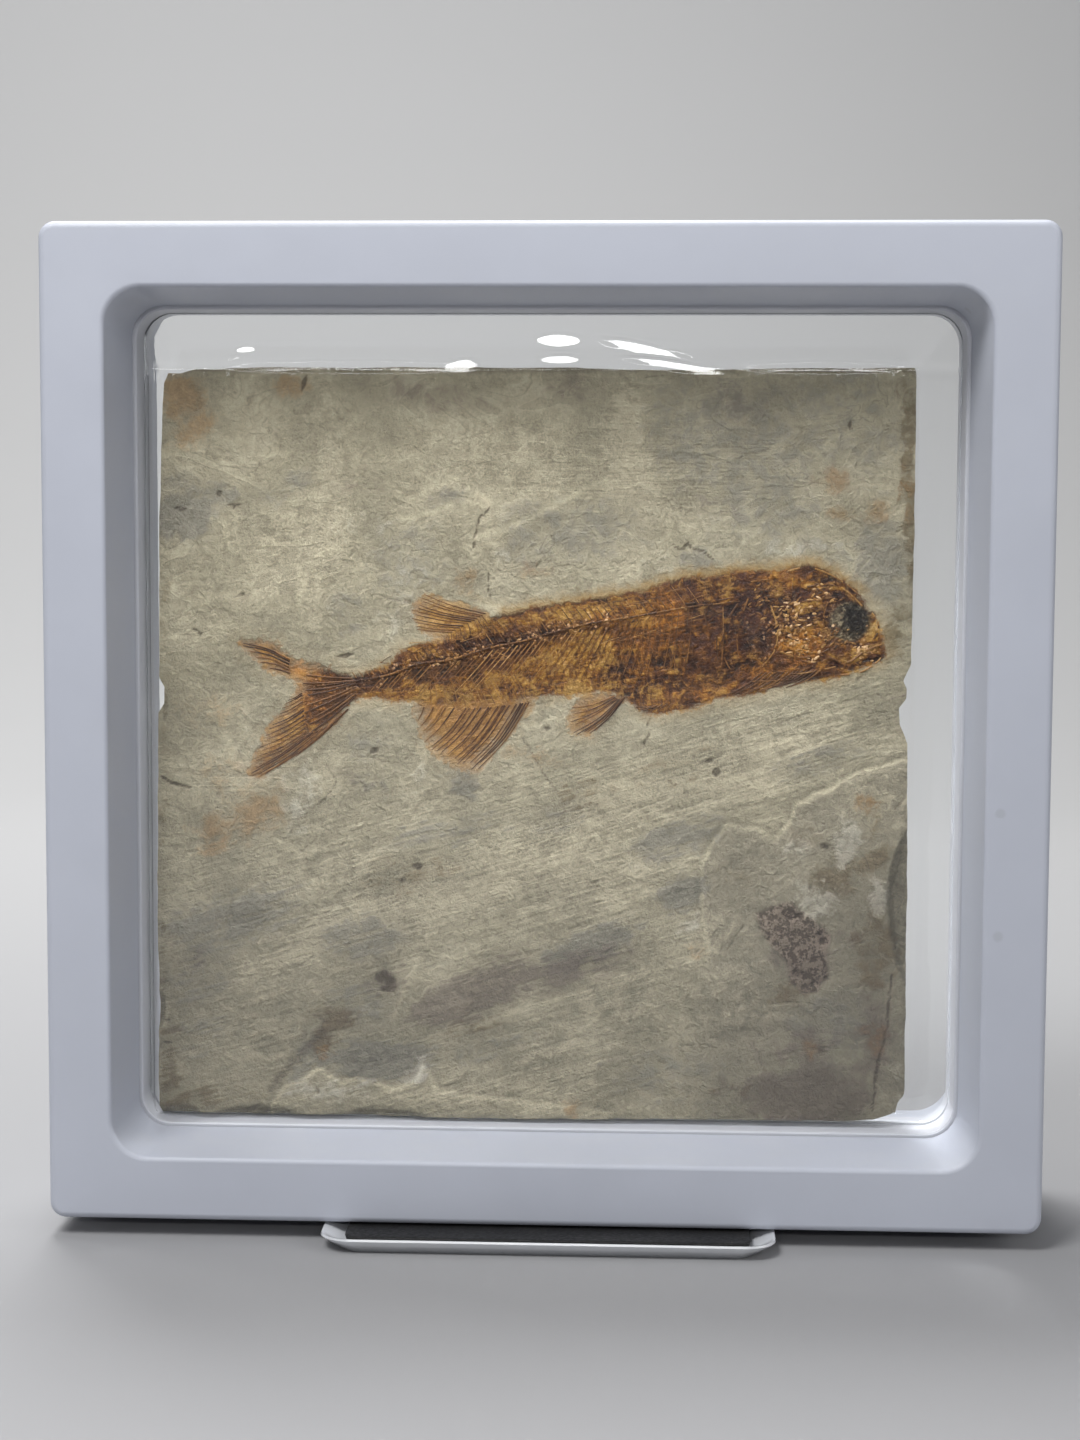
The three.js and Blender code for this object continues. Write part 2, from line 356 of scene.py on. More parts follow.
def grains(tree, place, size, share):
    return useGroup(tree, scatteredGrains, {"Vector": place, "Size": size, "Share": share})[0]


def addBump(material, height, distance, strength=1.0):
    bump = put(material.tree, "Bump", {"Height": height, "Distance": distance, "Strength": strength})
    material.tree.links.new(bump.outputs[0], material.shader.inputs["Normal"])


def addPiece(name, mesh, material, slotName, *replaced):
    piece = bpy.data.objects.new(name, mesh)
    bpy.context.scene.collection.objects.link(piece)
    mesh.materials.clear()
    mesh.materials.append(material)
    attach(piece, "root")
    if replaced:
        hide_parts(*replaced)
    return piece


def smoothCopy(nodeName, name, material, slotName, sharpDegrees=35):
    mesh = nodes[nodeName].data.copy()
    mesh.name = name
    bm = bmesh.new()
    bm.from_mesh(mesh)
    bmesh.ops.remove_doubles(bm, verts=bm.verts, dist=2e-6)
    for edge in bm.edges:
        edge.smooth = len(edge.link_faces) == 2 and edge.calc_face_angle() < math.radians(sharpDegrees)
    for face in bm.faces:
        face.smooth = True
    bm.to_mesh(mesh)
    bm.free()
    piece = addPiece(name, mesh, material, slotName, nodeName)
    weighted = piece.modifiers.new("evenShading", "WEIGHTED_NORMAL")
    weighted.keep_sharp = True
    return piece


def smoothStep(value, low, high):
    t = np.clip((value - low) / (high - low), 0, 1)
    return t * t * (3 - 2 * t)


lattices = {}


def valueNoise(x, z, size, seed):
    if seed not in lattices:
        lattices[seed] = np.random.default_rng(seed).uniform(-1, 1, (256, 256))
    lattice = lattices[seed]
    gx, gz = x / size + 512.37, z / size + 512.71
    ix, iz = np.floor(gx).astype(int), np.floor(gz).astype(int)
    fx, fz = gx - ix, gz - iz
    fx, fz = fx * fx * (3 - 2 * fx), fz * fz * (3 - 2 * fz)
    ix0, ix1, iz0, iz1 = ix % 256, (ix + 1) % 256, iz % 256, (iz + 1) % 256
    low = lattice[ix0, iz0] * (1 - fx) + lattice[ix1, iz0] * fx
    high = lattice[ix0, iz1] * (1 - fx) + lattice[ix1, iz1] * fx
    return low * (1 - fz) + high * fz


def roughNoise(x, z, size, seed, octaves=4):
    total, weight = 0, 0
    for octave in range(octaves):
        share = 0.55**octave
        total = total + share * valueNoise(x, z, size / 2**octave, seed + octave)
        weight += share
    return total / weight


def drawnOut(x, z, degrees, along, across):  # coordinates stretched along one direction
    c, s = math.cos(math.radians(degrees)), math.sin(math.radians(degrees))
    return (x * c + z * s) / along, (z * c - x * s) / across


def spots(x, z, marks, soft=0.5):
    total = np.zeros_like(x)
    for cx, cz, rx, rz, degrees, amount in marks:
        a, b = drawnOut(x - cx, z - cz, degrees, rx, rz)
        total = np.maximum(total, amount * smoothStep(np.hypot(a, b), 1 + soft, 1 - soft))
    return total


def lineDistance(x, z, points):
    nearest = np.full_like(x, 1e6)
    for (ax, az), (bx, bz) in zip(points, points[1:]):
        dx, dz = bx - ax, bz - az
        t = np.clip(((x - ax) * dx + (z - az) * dz) / (dx * dx + dz * dz + 1e-9), 0, 1)
        nearest = np.minimum(nearest, np.hypot(x - ax - t * dx, z - az - t * dz))
    return nearest


def strokes(x, z, lines):
    total = np.zeros_like(x)
    for width, amount, points in lines:
        total = np.maximum(total, amount * np.exp(-((lineDistance(x, z, points) / width) ** 2)))
    return total


def insideDistance(x, z, outline):  # mm inside a closed outline, negative outside
    closed = list(outline) + [outline[0]]
    inside = np.zeros(x.shape, bool)
    for (ax, az), (bx, bz) in zip(closed, closed[1:]):
        crosses = (az > z) != (bz > z)
        where = (bx - ax) * (z - az) / (bz - az + 1e-9) + ax
        inside ^= crosses & (x < where)
    return np.where(inside, 1, -1) * lineDistance(x, z, closed)


def throughPoints(points, count, closed=False):  # a smooth line through chosen points
    source = list(points)
    if closed:
        source = source[-1:] + source + source[:2]
    else:
        source = [source[0]] + source + [source[-1]]
    spans = len(source) - 3
    result = []
    for step in range(count if closed else count + 1):
        place = step / count * spans
        index = min(int(place), spans - 1)
        t = place - index
        p = [np.array(source[index + k], float) for k in range(4)]
        value = 0.5 * (2 * p[1] + (p[2] - p[0]) * t + (2 * p[0] - 5 * p[1] + 4 * p[2] - p[3]) * t * t
                       + (3 * p[1] - p[0] - 3 * p[2] + p[3]) * t**3)
        result.append(tuple(value))
    return result


fish = {
    "bodyRelief": 0.24,
    "finRelief": 0.05,
    "ribPitch": 1.28,
    "vertebraPitch": 1.9,
    "back": [
        (-47, 11.5), (-42, 10.1), (-38, 10.3), (-33, 12), (-31, 14.5), (-27, 16.3), (-21, 17.6), (-17, 20),
        (-13, 22), (-8, 23), (0, 24.4), (10, 26), (17, 27), (24, 29), (27, 30.3), (33, 30.7), (40, 31.8),
        (47, 31.8), (52, 33), (56, 32), (60, 30), (63, 27.8), (65.5, 24.8), (67.3, 22.4), (68.3, 20.2),
        (68.6, 18), (69.4, 15.8), (68.3, 13.2),
    ],
    "belly": [
        (65, 11.8), (62, 10.6), (57, 9), (50, 8.3), (45, 6.7), (40, 5.8), (35, 4.8), (30, 3.3), (25, 2.2),
        (21, 2), (18.5, 2.6), (16, 5), (12, 6), (5, 5.5), (0, 5.3), (-4, 4.9), (-12, 4.2), (-20, 3.4),
        (-27, 3.6), (-35, 4.3), (-39, 4.6), (-43, 1.5), (-46, -1), (-49.5, -3.6), (-50.6, 0), (-50.6, 6),
    ],
    "spine": [
        (-47, 7.4), (-34, 9.5), (-27, 12), (-20, 13), (-12, 15.5), (-5, 17), (0, 18.5), (8, 20.5), (17, 22),
        (28, 24), (36, 25), (41, 25.6),
    ],
    "tail": [
        (-46, 11.6), (-50, 12.6), (-53.4, 13.7), (-55.6, 15.8), (-59, 17), (-62, 17.2), (-64.2, 16.7),
        (-63, 14.4), (-60, 11.6), (-57, 9.9), (-54.4, 9.2), (-52.4, 7.4), (-53.2, 5), (-55.4, 2),
        (-58.5, -2), (-61.3, -7.4), (-62.6, -11.4), (-60.2, -12.2), (-57, -10), (-54, -7.6), (-50, -5),
        (-46, -2.4), (-42, 2),
    ],
    "dorsal": [
        (-12.4, 23), (-16, 24.5), (-20, 25.3), (-25.7, 26.4), (-28.3, 23.8), (-27.8, 21.6), (-26.6, 19.6),
        (-24.8, 18), (-22, 16.4), (-18, 14.6), (-11.5, 18.6),
    ],
    "anal": [
        (-3, 4), (-4.8, 1), (-6.8, -1.5), (-8.8, -3.8), (-11.6, -7.6), (-14.2, -10.8), (-17, -10.2),
        (-20.2, -9.2), (-23.4, -6.8), (-26, -3.4), (-27.2, -0.4), (-27.8, 3.4), (-24, 8), (-14, 9.5),
        (-6, 9),
    ],
    "pelvic": [
        (16.4, 6), (14, 3.2), (10.5, 0), (8.5, -2), (6.4, -2.2), (4.3, -1.4), (4, 0.7), (6, 4.9), (10, 6.6),
    ],
    "gillEdge": [(39.2, 25), (36.6, 21.5), (35.8, 17.5), (36.2, 13.5), (38, 10)],
    "eye": (61.6, 21.3, 4.3),
}

fishMarks = {
    # x, z, half width, half height, turn, amount
    "dark": [
        (34, 17, 24, 11, 8, 0.2), (44, 19, 9, 9, 0, 0.36), (-46, 4.4, 5, 5.4, 20, 0.38),
        (-47, 10.6, 3.6, 1.2, -14, 0.4), (-35, 8.2, 3, 1.5, 10, 0.5), (-24, 12, 5, 2, 15, 0.24),
        (13.5, 10.4, 4, 1.6, 5, 0.5), (43.4, 26, 3.4, 2.4, 0, 0.55), (38.6, 22.2, 3, 2.2, -20, 0.42),
        (52.6, 32.4, 2.8, 1.1, -10, 0.5), (67.8, 14.2, 1.8, 1, 15, 0.6), (47.3, 12, 2.6, 1.2, 0, 0.5),
        (36.4, 14.4, 1.3, 2.6, 0, 0.4), (28, 24.6, 3, 1, -5, 0.4), (60.2, 26, 4.5, 1.6, -25, 0.35),
        (43, 17.4, 3.2, 3.6, 0, 0.25), (49, 22.5, 3, 3, 0, 0.22), (9.6, 20, 2.6, 0.9, 10, 0.42),
        (31, 12.3, 5.5, 1, 4, 0.3), (55, 30, 5, 1.6, -10, 0.3), (24, 15, 3.4, 4, 0, 0.16),
        (-8, 16.8, 3, 1.2, 10, 0.35), (-15, 9.3, 1.6, 1.1, 0, 0.4), (-57.5, -7.6, 3.5, 1.3, 38, 0.45),
        (-52.6, 11.6, 1, 1, 0, 0.5), (64.8, 16.6, 2.2, 0.8, 10, 0.3),
    ],
    "light": [
        (-27, 5.8, 9, 2, 5, 0.3), (-8, 9, 7, 3.6, 20, 0.2), (6, 13, 9, 4.8, 15, 0.34),
        (-21, 22.6, 6, 3, 10, 0.4), (63.5, 14.6, 3.4, 1.6, 10, 0.25), (2, 22.4, 14, 1.8, 9, 0.3),
        (-18, 19.6, 7, 2, 15, 0.3), (6, 7.2, 6, 1.5, 0, 0.42), (51.5, 16, 4.4, 2.6, 15, 0.34),
        (67.4, 20.2, 0.9, 2, -15, 0.8), (26.2, 10.8, 1.1, 0.5, 0, 0.6), (35.4, 18, 0.9, 1.8, -15, 0.5),
        (42, 14, 2.2, 0.7, -25, 0.45), (64.6, 15.2, 2.8, 0.9, -5, 0.42), (-52.6, 2.4, 2, 5, 10, 0.3),
        (54, 24.4, 3.6, 1.4, -5, 0.25), (10, 3.6, 1, 0.5, 0, 0.8), (18, 21.2, 4, 1.5, 10, 0.26),
        (-55.6, 12.6, 2.6, 1.2, -20, 0.25), (24, 6, 5, 1.6, 10, 0.16),
    ],
    "orange": [
        (24.5, 22.6, 4, 3.8, 0, 0.85), (51, 16, 5.4, 3.4, 10, 0.8), (-51.6, 11, 2, 2, 0, 0.85),
        (-47, 5, 5, 6, 20, 0.6), (15, 22.4, 7, 1.6, 10, 0.5), (46, 11, 6, 2, 0, 0.4),
        (12, 1.2, 4, 2.6, 30, 0.6), (-50, -6, 6, 2, 35, 0.4), (33, 7, 8, 2, 8, 0.35),
        (48, 30, 6, 2, 0, 0.3), (20, 18, 6, 4, 0, 0.35),
    ],
    "crumb": [(-30, 11, 9, 4, 15, 1), (50, 20, 9, 6, 0, 1), (66, 18, 2.4, 4, 0, 1)],
    "grey": [
        (61.6, 21.3, 4.4, 4.4, 0, 0.85), (43, 18, 3, 2.6, 0, 0.5), (-4, 17.3, 9, 1.5, 12, 0.5),
        (-22, 11, 6, 1.2, 12, 0.4), (-36, 8.2, 2, 1.2, 0, 0.5), (33, 23.6, 4, 1.6, 0, 0.35),
        (58.4, 18.6, 3, 1.8, 0, 0.6),
    ],
}

fishStrokes = {
    "dark": [
        (2.0, 0.5, [(-18.5, 15.9), (-10, 16.8), (-4, 17.8), (1, 19)]),
        (1.4, 0.4, [(-31, 10.8), (-20, 10.9), (-10, 13.4), (-3, 15.4)]),
        (1.1, 0.3, [(0, 18.6), (9, 20.4), (18, 22)]),
        (1.4, 0.35, [(-48, 8.6), (-42, 8.2), (-36, 8.6), (-32, 9.8)]),
        (0.7, 0.45, fish["gillEdge"]),
        (0.5, 0.5, [(50, 32), (53, 33), (57, 31.6), (61, 29.2), (64.5, 26), (66.6, 23)]),
        (0.6, 0.35, [(-12, 21.9), (0, 24.2), (10, 25.8), (20, 27.7), (27, 30)]),
        (0.5, 0.4, [(46, 20.6), (50, 20.2), (55, 20.5)]),
        (0.6, 0.3, [(40, 9), (50, 9.6), (60, 11.2)]),
        (0.5, 0.45, [(58, 13), (61.5, 12), (65, 13.4), (68.6, 15)]),
        (0.6, 0.5, [(-49.8, 8), (-50.3, 2), (-49.6, -3)]),
        (0.5, 0.4, [(-64, 16.5), (-60, 16.9), (-56, 15.7), (-53.6, 13.6)]),
    ],
    "light": [
        (0.55, 0.55, [(53, 28.6), (57, 29), (61, 27.6), (64.6, 24.2)]),
        (0.45, 0.5, [(58, 14.2), (61.6, 13.2), (65.4, 15.9), (68.6, 17)]),
        (0.5, 0.4, [(60.4, 10.2), (64, 11), (67, 12.4)]),
        (0.4, 0.45, [(48, 7.8), (53, 8.6), (57, 9.4)]),
    ],
}


spineX, spineZ = zip(*throughPoints(fish["spine"], 80))


def spineLevel(x):
    return np.interp(x, spineX, spineZ)


def spineDistance(x, z):
    return lineDistance(x, z, throughPoints(fish["spine"], 60))


def ribLean(x):  # how far a rib runs tailwards for each mm down
    return np.interp(x, [-16, -4, 6, 16, 26, 36], [0.95, 0.86, 0.72, 0.42, 0.16, 0.02])


def ribOrigin(x, z):  # where the rib through a point leaves the spine
    origin = x
    for _ in range(8):
        drop = spineLevel(origin) - z
        origin = x + ribLean(origin) * np.clip(drop, -20, 20)
    return origin


outlines = {
    "body": throughPoints(fish["back"] + fish["belly"], 170, True),
    "tail": throughPoints(fish["tail"], 80, True),
    "dorsal": throughPoints(fish["dorsal"], 40, True),
    "anal": throughPoints(fish["anal"], 50, True),
    "pelvic": throughPoints(fish["pelvic"], 36, True),
}

stoneMarks = {
    # x, z, half width, half height, turn, amount
    "slate": [
        (-75, 42, 6, 5, 0, 0.95), (-72, 48, 9, 3, -10, 0.6), (-53, 50, 4.4, 2.2, 30, 0.6),
        (-58, 47, 5, 2, 0, 0.4), (-29, 33, 9, 8, 20, 0.4), (-42, 24, 4, 5, 0, 0.45),
        (-41, 18.6, 3.4, 1.1, 0, 0.7), (-21, 47, 5, 1.7, 22, 0.6), (38, 58, 18, 13, 0, 0.52),
        (45, 46, 13, 9, 0, 0.5), (26, 60, 5, 13, 0, 0.45), (30, 34.6, 5, 1.6, -12, 0.8),
        (60, 60, 15, 14, 0, 0.42), (-48, -68, 10, 2.4, 61, 0.7), (5, 40, 15, 6, 0, 0.5),
        (-5, 34, 4, 3, -30, 0.5), (68, 33, 6, 9, 0, 0.7), (-67, -42, 14, 6, 17, 0.8),
        (-74, -46, 7, 5, 0, 0.5), (-38, -45, 9, 4, 12, 0.75), (26, -24, 10, 3.4, 17, 0.8),
        (28, -35, 5, 3, 30, 0.95), (8, -47, 10, 3.2, 20, 1.0), (57, -7.5, 9, 2.4, 15, 0.6),
        (-36, -71, 12, 3.6, 0, 1.0), (-37, -4, 5, 4, 0, 0.45), (-36, -13, 5, 3, -15, 0.4),
        (-20, -22, 13, 3, 8, 0.45), (2, -19, 6, 3, 15, 0.4), (-40, -60, 7, 4, 0, 0.5),
        (-12, -68, 10, 2.6, 14, 0.4), (60, -62, 9, 7, 0, 0.5), (28, -74, 14, 6, 0, 0.4),
        (-17, -13, 2.2, 3.4, 10, 0.9), (-74, -60, 6, 12, 0, 0.35), (6, 44, 9, 2, 15, 0.35),
        (58, 35, 7, 3, 0, 0.4),
    ],
    "purple": [
        (5, 68, 7, 3.6, 0, 0.38), (-24, 67, 17, 3, -4, 0.36), (-16, -57, 13, 5, 24, 0.95),
        (4, -51.5, 14, 3.4, 18, 0.7), (54, -78, 13, 6.5, 0, 1.0), (52, -47, 6.4, 8.5, 25, 0.55),
        (55, -67, 5, 4, 0, 0.7), (68, -65, 3.6, 10, 0, 0.7), (-40, -12, 4, 2, -15, 0.35),
        (-33.5, -54.5, 5, 4, 0, 0.5), (72, 5, 3, 8, 0, 0.2), (-38, 49, 6, 3, 0, 0.3),
        (-75, -50, 3, 3, 20, 0.5), (40, 66, 10, 4, 0, 0.3), (32, 47, 8, 3, -20, 0.25),
        (61, -44, 6, 2.4, 0, 0.4), (48, -66, 5, 5, 0, 0.3),
    ],
    "tan": [
        (16, 50, 4.2, 22, 0, 0.95), (28, 43.5, 7, 3, -8, 0.7), (24, 35, 2, 5, 0, 0.4),
        (-45, 46, 3.2, 19, 0, 0.8), (-49, 22, 1.3, 9, 0, 0.9), (-52, 36, 9, 10, 30, 0.45),
        (30, -13, 36, 5.5, 17, 0.85), (-20, -37, 38, 5.4, 17, 0.85), (-5, -27, 24, 3, 12, 0.6),
        (-42, -31, 12, 3, 15, 0.5), (66, -15, 6, 6, 0, 0.6), (-8, 52, 12, 10, 0, 0.45),
        (6, -70, 14, 6, 0, 0.35), (-14, -79, 22, 3, 0, 0.5), (-50, -46, 2.2, 6, -15, 0.9),
        (10, -33, 18, 5, 14, 0.75), (14, -57, 8, 5, -20, 0.6), (33, -44, 4, 5, 0, 0.5),
        (-8, 31.6, 5, 2.4, 10, 0.6), (-13, 46, 3, 1.4, -20, 0.7), (-62, 38, 4, 6, 0, 0.3),
        (40, -3, 20, 4, 15, 0.5), (38, -55, 12, 8, 0, 0.25), (-60, -58, 8, 4, 0, 0.3),
        (-47, -12, 5, 8, -10, 0.45), (-27, -12, 3, 8, 0, 0.45), (-45, -24, 6, 3, 20, 0.4),
    ],
    "rust": [
        (-75.8, 67, 4, 4, 0, 0.9), (-73, 61, 4.6, 2.4, 25, 0.75), (-75, 57.4, 3, 1.6, 0, 0.5),
        (-53, 69, 3.4, 2.4, 0, 0.7), (58, 50, 3.6, 2.8, 30, 0.55), (60, 43, 2.6, 1.4, -10, 0.8),
        (68, 44, 2, 2.2, 0, 0.85), (-16.6, 30, 3, 1.6, 25, 0.7), (-70, -24, 2, 4.6, -8, 0.9),
        (-60, -19, 5, 3, 45, 0.75), (-64, -22, 6, 4, 30, 0.5), (65, -16, 2.4, 1.5, 10, 0.8),
        (-46, -69, 1.5, 1.3, 0, 0.95), (5, -80.6, 1.7, 1.3, 0, 0.9), (-2, -7, 5, 1.6, -15, 0.45),
        (7, -2.6, 3, 1, 0, 0.4), (-66, -12, 6, 5, 0, 0.3), (55.5, -67.6, 1.8, 1.8, 0, 0.7),
        (-3, 31, 5, 1.4, 10, 0.3), (73, 47, 1.4, 5, 0, 0.5), (68, -66, 2, 3, 0, 0.5),
        (-70, 2, 8, 4, 0, 0.2), (31, -47, 1.6, 1.6, 0, 0.5), (-56.5, -16, 1.4, 6, -5, 0.4),
    ],
    "olive": [
        (59, -32, 4.4, 3.4, -10, 0.95), (66.5, -28, 5.5, 2, 25, 0.85), (-44, -62, 4.4, 2.4, -32, 0.95),
        (-46, -66.5, 2.4, 4, -10, 0.7), (8, -15, 6, 3.4, 15, 0.3), (-30, -32, 9, 4, 12, 0.35),
        (28, -9, 9, 3, 15, 0.25), (70.5, 18, 3, 7, 0, 0.55), (73.6, 48, 1.5, 24, 0, 0.85),
        (50, -56, 3.4, 3, 0, 0.55), (68, -46, 5, 10, 0, 0.65), (-79, -72, 2.2, 8, 0, 0.65),
        (-73, -79, 7, 2.4, 0, 0.6), (35, -76, 7, 2, 0, 0.4), (52, -24, 4, 3, 0, 0.4),
        (-80.4, -4, 1.2, 60, 0, 0.35), (60, -27, 3, 1.4, 0, 0.6), (66, -20, 4, 8, 0, 0.35),
        (-15, -64, 6, 2, 15, 0.4), (37, -33, 4, 3, 0, 0.3), (56, 34.6, 3, 1.6, 0, 0.5),
        (-64, -78, 4, 2, 0, 0.35),
    ],
    "pale": [
        (61.5, -24.6, 3, 4.4, -15, 0.9), (55.5, -36, 4.4, 4, 0, 0.6), (68.4, -35, 1.8, 3.4, 0, 0.85),
        (51, -26, 4, 4, 0, 0.35), (-8, 33, 4, 2, 0, 0.3), (57, 35.8, 2.2, 1.2, 0, 0.7),
        (50, 35.6, 5, 1.6, -10, 0.5), (-27, -11, 1.2, 3.4, 0, 0.5), (-52, -14, 3, 9, -10, 0.5),
        (22, 33, 3, 3, 0, 0.3), (30, -41.6, 3, 1.4, 30, 0.55), (-26, -73, 1.4, 2.4, 0, 0.7),
        (-45, -78, 9, 2.4, 0, 0.45), (60, -46, 1, 2.4, 0, 0.6), (-60, -5, 5, 8, 0, 0.2),
        (-30, 22, 6, 4, 15, 0.35), (-28, 28, 4, 8, 0, 0.3), (-38, 40, 6, 3, 0, 0.3),
        (73, -72, 1.6, 8, 0, 0.3),
    ],
    "grainy": [
        (8, -14, 9, 5, 20, 1), (-30, -33, 12, 5, 12, 1), (28, -9, 12, 5, 15, 1), (-50, 38, 12, 8, 35, 0.8),
        (-5, 55, 18, 9, 0, 0.8), (15, -44, 16, 4, 20, 0.8), (-3, -24, 14, 3, 12, 1), (52, -47, 5, 8, 25, 1),
        (-50, -18, 8, 5, 0, 0.5), (-20, 53, 12, 8, 0, 0.6), (30, 55, 14, 10, 0, 0.5),
    ],
    "combed": [(22, 52, 30, 9, 0, 1.0), (16, 60, 8, 12, 0, 0.7)],
    "pit": [
        (-27, -30, 1.2, 0.8, 0, 0.9), (-34.3, -53.5, 1.6, 1.3, 20, 0.75), (-32.6, -54.8, 1.4, 1.7, 0, 0.8),
        (-34, -56.2, 1.1, 0.7, 0, 0.7), (61, 61, 0.5, 1.1, 0, 0.9), (-68, 46.8, 0.8, 0.6, 0, 0.7),
        (-65, 44.5, 1.7, 0.5, 0, 0.7), (-76, 44, 1.3, 0.4, -10, 0.8), (57.5, -25, 1.1, 0.8, 0, 0.7),
        (54.5, -33.5, 0.7, 0.6, 0, 0.6), (50.5, -39.4, 2.8, 1, 10, 0.9), (57, -44, 1.3, 1.5, 0, 0.9),
        (52, -51.6, 1.4, 1, 0, 0.9), (56, -53.4, 2.6, 0.6, 20, 0.8), (-35.8, -6, 1, 0.7, 0, 0.7),
        (0, -1, 0.8, 0.5, 0, 0.7), (-38, -13.6, 0.8, 0.5, 0, 0.4), (-50.4, 69.6, 0.5, 2, -20, 0.8),
        (-42, 13.7, 1.8, 0.5, 5, 0.8), (35, -10, 0.9, 0.9, 0, 0.8), (33.4, -7.4, 1.2, 0.5, 20, 0.8),
        (57, -67.6, 0.9, 1, 0, 0.6), (-79.6, -63.5, 0.8, 0.7, 0, 0.6), (-80, -68, 1, 0.6, 0, 0.7),
        (-30, -33, 1.2, 0.7, 40, 0.6), (46, -44, 1, 0.7, 0, 0.6), (-36, 36, 0.7, 0.7, 0, 0.35),
        (-31.6, 36.2, 0.8, 0.6, 0, 0.4), (-48, -78, 0.5, 1, 0, 0.6), (45.5, -72, 0.7, 0.7, 0, 0.4),
        (-60, 27.4, 0.5, 0.3, 0, 0.6), (-63.4, 26.2, 2, 0.4, 8, 0.6), (-29, 25, 0.9, 0.8, 0, 0.5),
    ],
}

shelfEdge = [
    (-55, -77), (-51, -75.4), (-48, -73), (-45.6, -74.4), (-43, -76), (-40, -75.2), (-36, -75.6),
    (-33, -77.2), (-30, -76.6), (-27, -75), (-26, -72),
]

stoneStrokes = {
    # width, amount, points
    "light": [
        (0.45, 0.8, [(-15, 38.2), (-8, 40), (-2, 43), (7, 48), (12, 50)]),
        (0.4, 0.8, [(-30, 41.6), (-26, 42.6), (-20, 44.8)]),
        (0.45, 0.7, [(-29, 45.5), (-25, 48), (-19, 50)]),
        (0.35, 0.6, [(-17, 48.4), (-12, 45.5)]),
        (0.4, 0.6, [(45, 56.4), (50, 60)]),
        (0.35, 0.5, [(-81, 17), (-75, 17.6)]),
        (0.4, 0.6, [(-50.2, 30), (-51.6, 24)]),
        (0.4, 0.9, shelfEdge),
        (0.35, 0.6, [(0, 24.6), (-10, 23.6), (-14, 24.4)]),
        (0.3, 0.6, [(-32, -62), (-30, -57), (-27, -50)]),
        (0.3, 0.5, [(40, 37.5), (45, 40.5)]),
        (0.35, 0.5, [(20, 51), (35, 50.8)]),
        (0.4, 0.6, [(-14, -63.4), (-4, -59.6), (8, -55.6)]),
        (0.35, 0.5, [(5, -66), (10, -62), (13, -58)]),
        (0.3, 0.5, [(-34, 22.6), (-28, 24.6), (-23, 27.4), (-20.6, 30)]),
        (0.5, 0.5, [(66, -22), (70, -21.4), (73, -20)]),
    ],
    "dark": [
        (0.32, 0.8, [(-15, 36), (-15.2, 38.5), (-14, 42), (-12, 44.4)]),
        (1.2, 0.4, [(-73.8, 69.4), (-72.2, 68), (-71.8, 65.6), (-73, 63.4), (-75, 62.4)]),
        (0.28, 0.6, [(-12.2, 31), (-12, 26)]),
        (0.28, 1.0, [(25.6, 36.9), (26.6, 36.1), (27.8, 36.1), (28.4, 37.2)]),
        (0.28, 0.8, [(28.4, 37.2), (29.4, 36.2), (31.6, 35.4), (33.6, 33.8)]),
        (0.35, 0.8, [(-73.6, 19), (-71.8, 18)]),
        (0.4, 0.85, [(-80.4, -12), (-77.5, -13.4), (-74.8, -14)]),
        (0.4, 0.5, [(37, 56), (41, 55.5), (45, 56.4)]),
        (0.35, 0.7, [(21, 1), (20.9, -1.8), (19.7, -4.2)]),
        (0.5, 0.5, [(-5, -3), (-3, -7), (0, -11.5), (4, -17)]),
        (0.32, 0.55, [(-46, -9), (-43.8, -12.6), (-46.5, -16.5), (-49, -18)]),
        (0.3, 0.5, [(-60, -34.6), (-53.6, -31.6)]),
        (1.5, 0.5, [(-58, -78), (-54, -73), (-50, -68.5), (-47, -65.4)]),
        (0.35, 0.9, [(71.5, -52), (70.7, -62), (69, -70), (67.8, -80.5)]),
        (0.3, 0.45, [(5, -31), (9, -33), (13, -35.6)]),
        (0.5, 0.5, [(-50, -61), (-46, -63.4), (-41, -63.2)]),
        (0.3, 0.5, [(18, -46), (20, -46.6), (22.6, -45)]),
        (0.6, 0.5, [(-81, 6), (-79.4, 5), (-79.6, 0)]),
        (0.45, 0.6, [(73.4, -15), (71.6, -17)]),
        (0.4, 0.5, [(-37, -7.4), (-32, -8.6)]),
        (0.45, 0.5, [(43, -66), (44.6, -70), (46, -73)]),
        (0.3, 0.5, [(-51.4, -27.4), (-48.4, -24.6)]),
        (0.35, 0.6, [(37.6, -46.6), (41, -41.4)]),
    ],
}

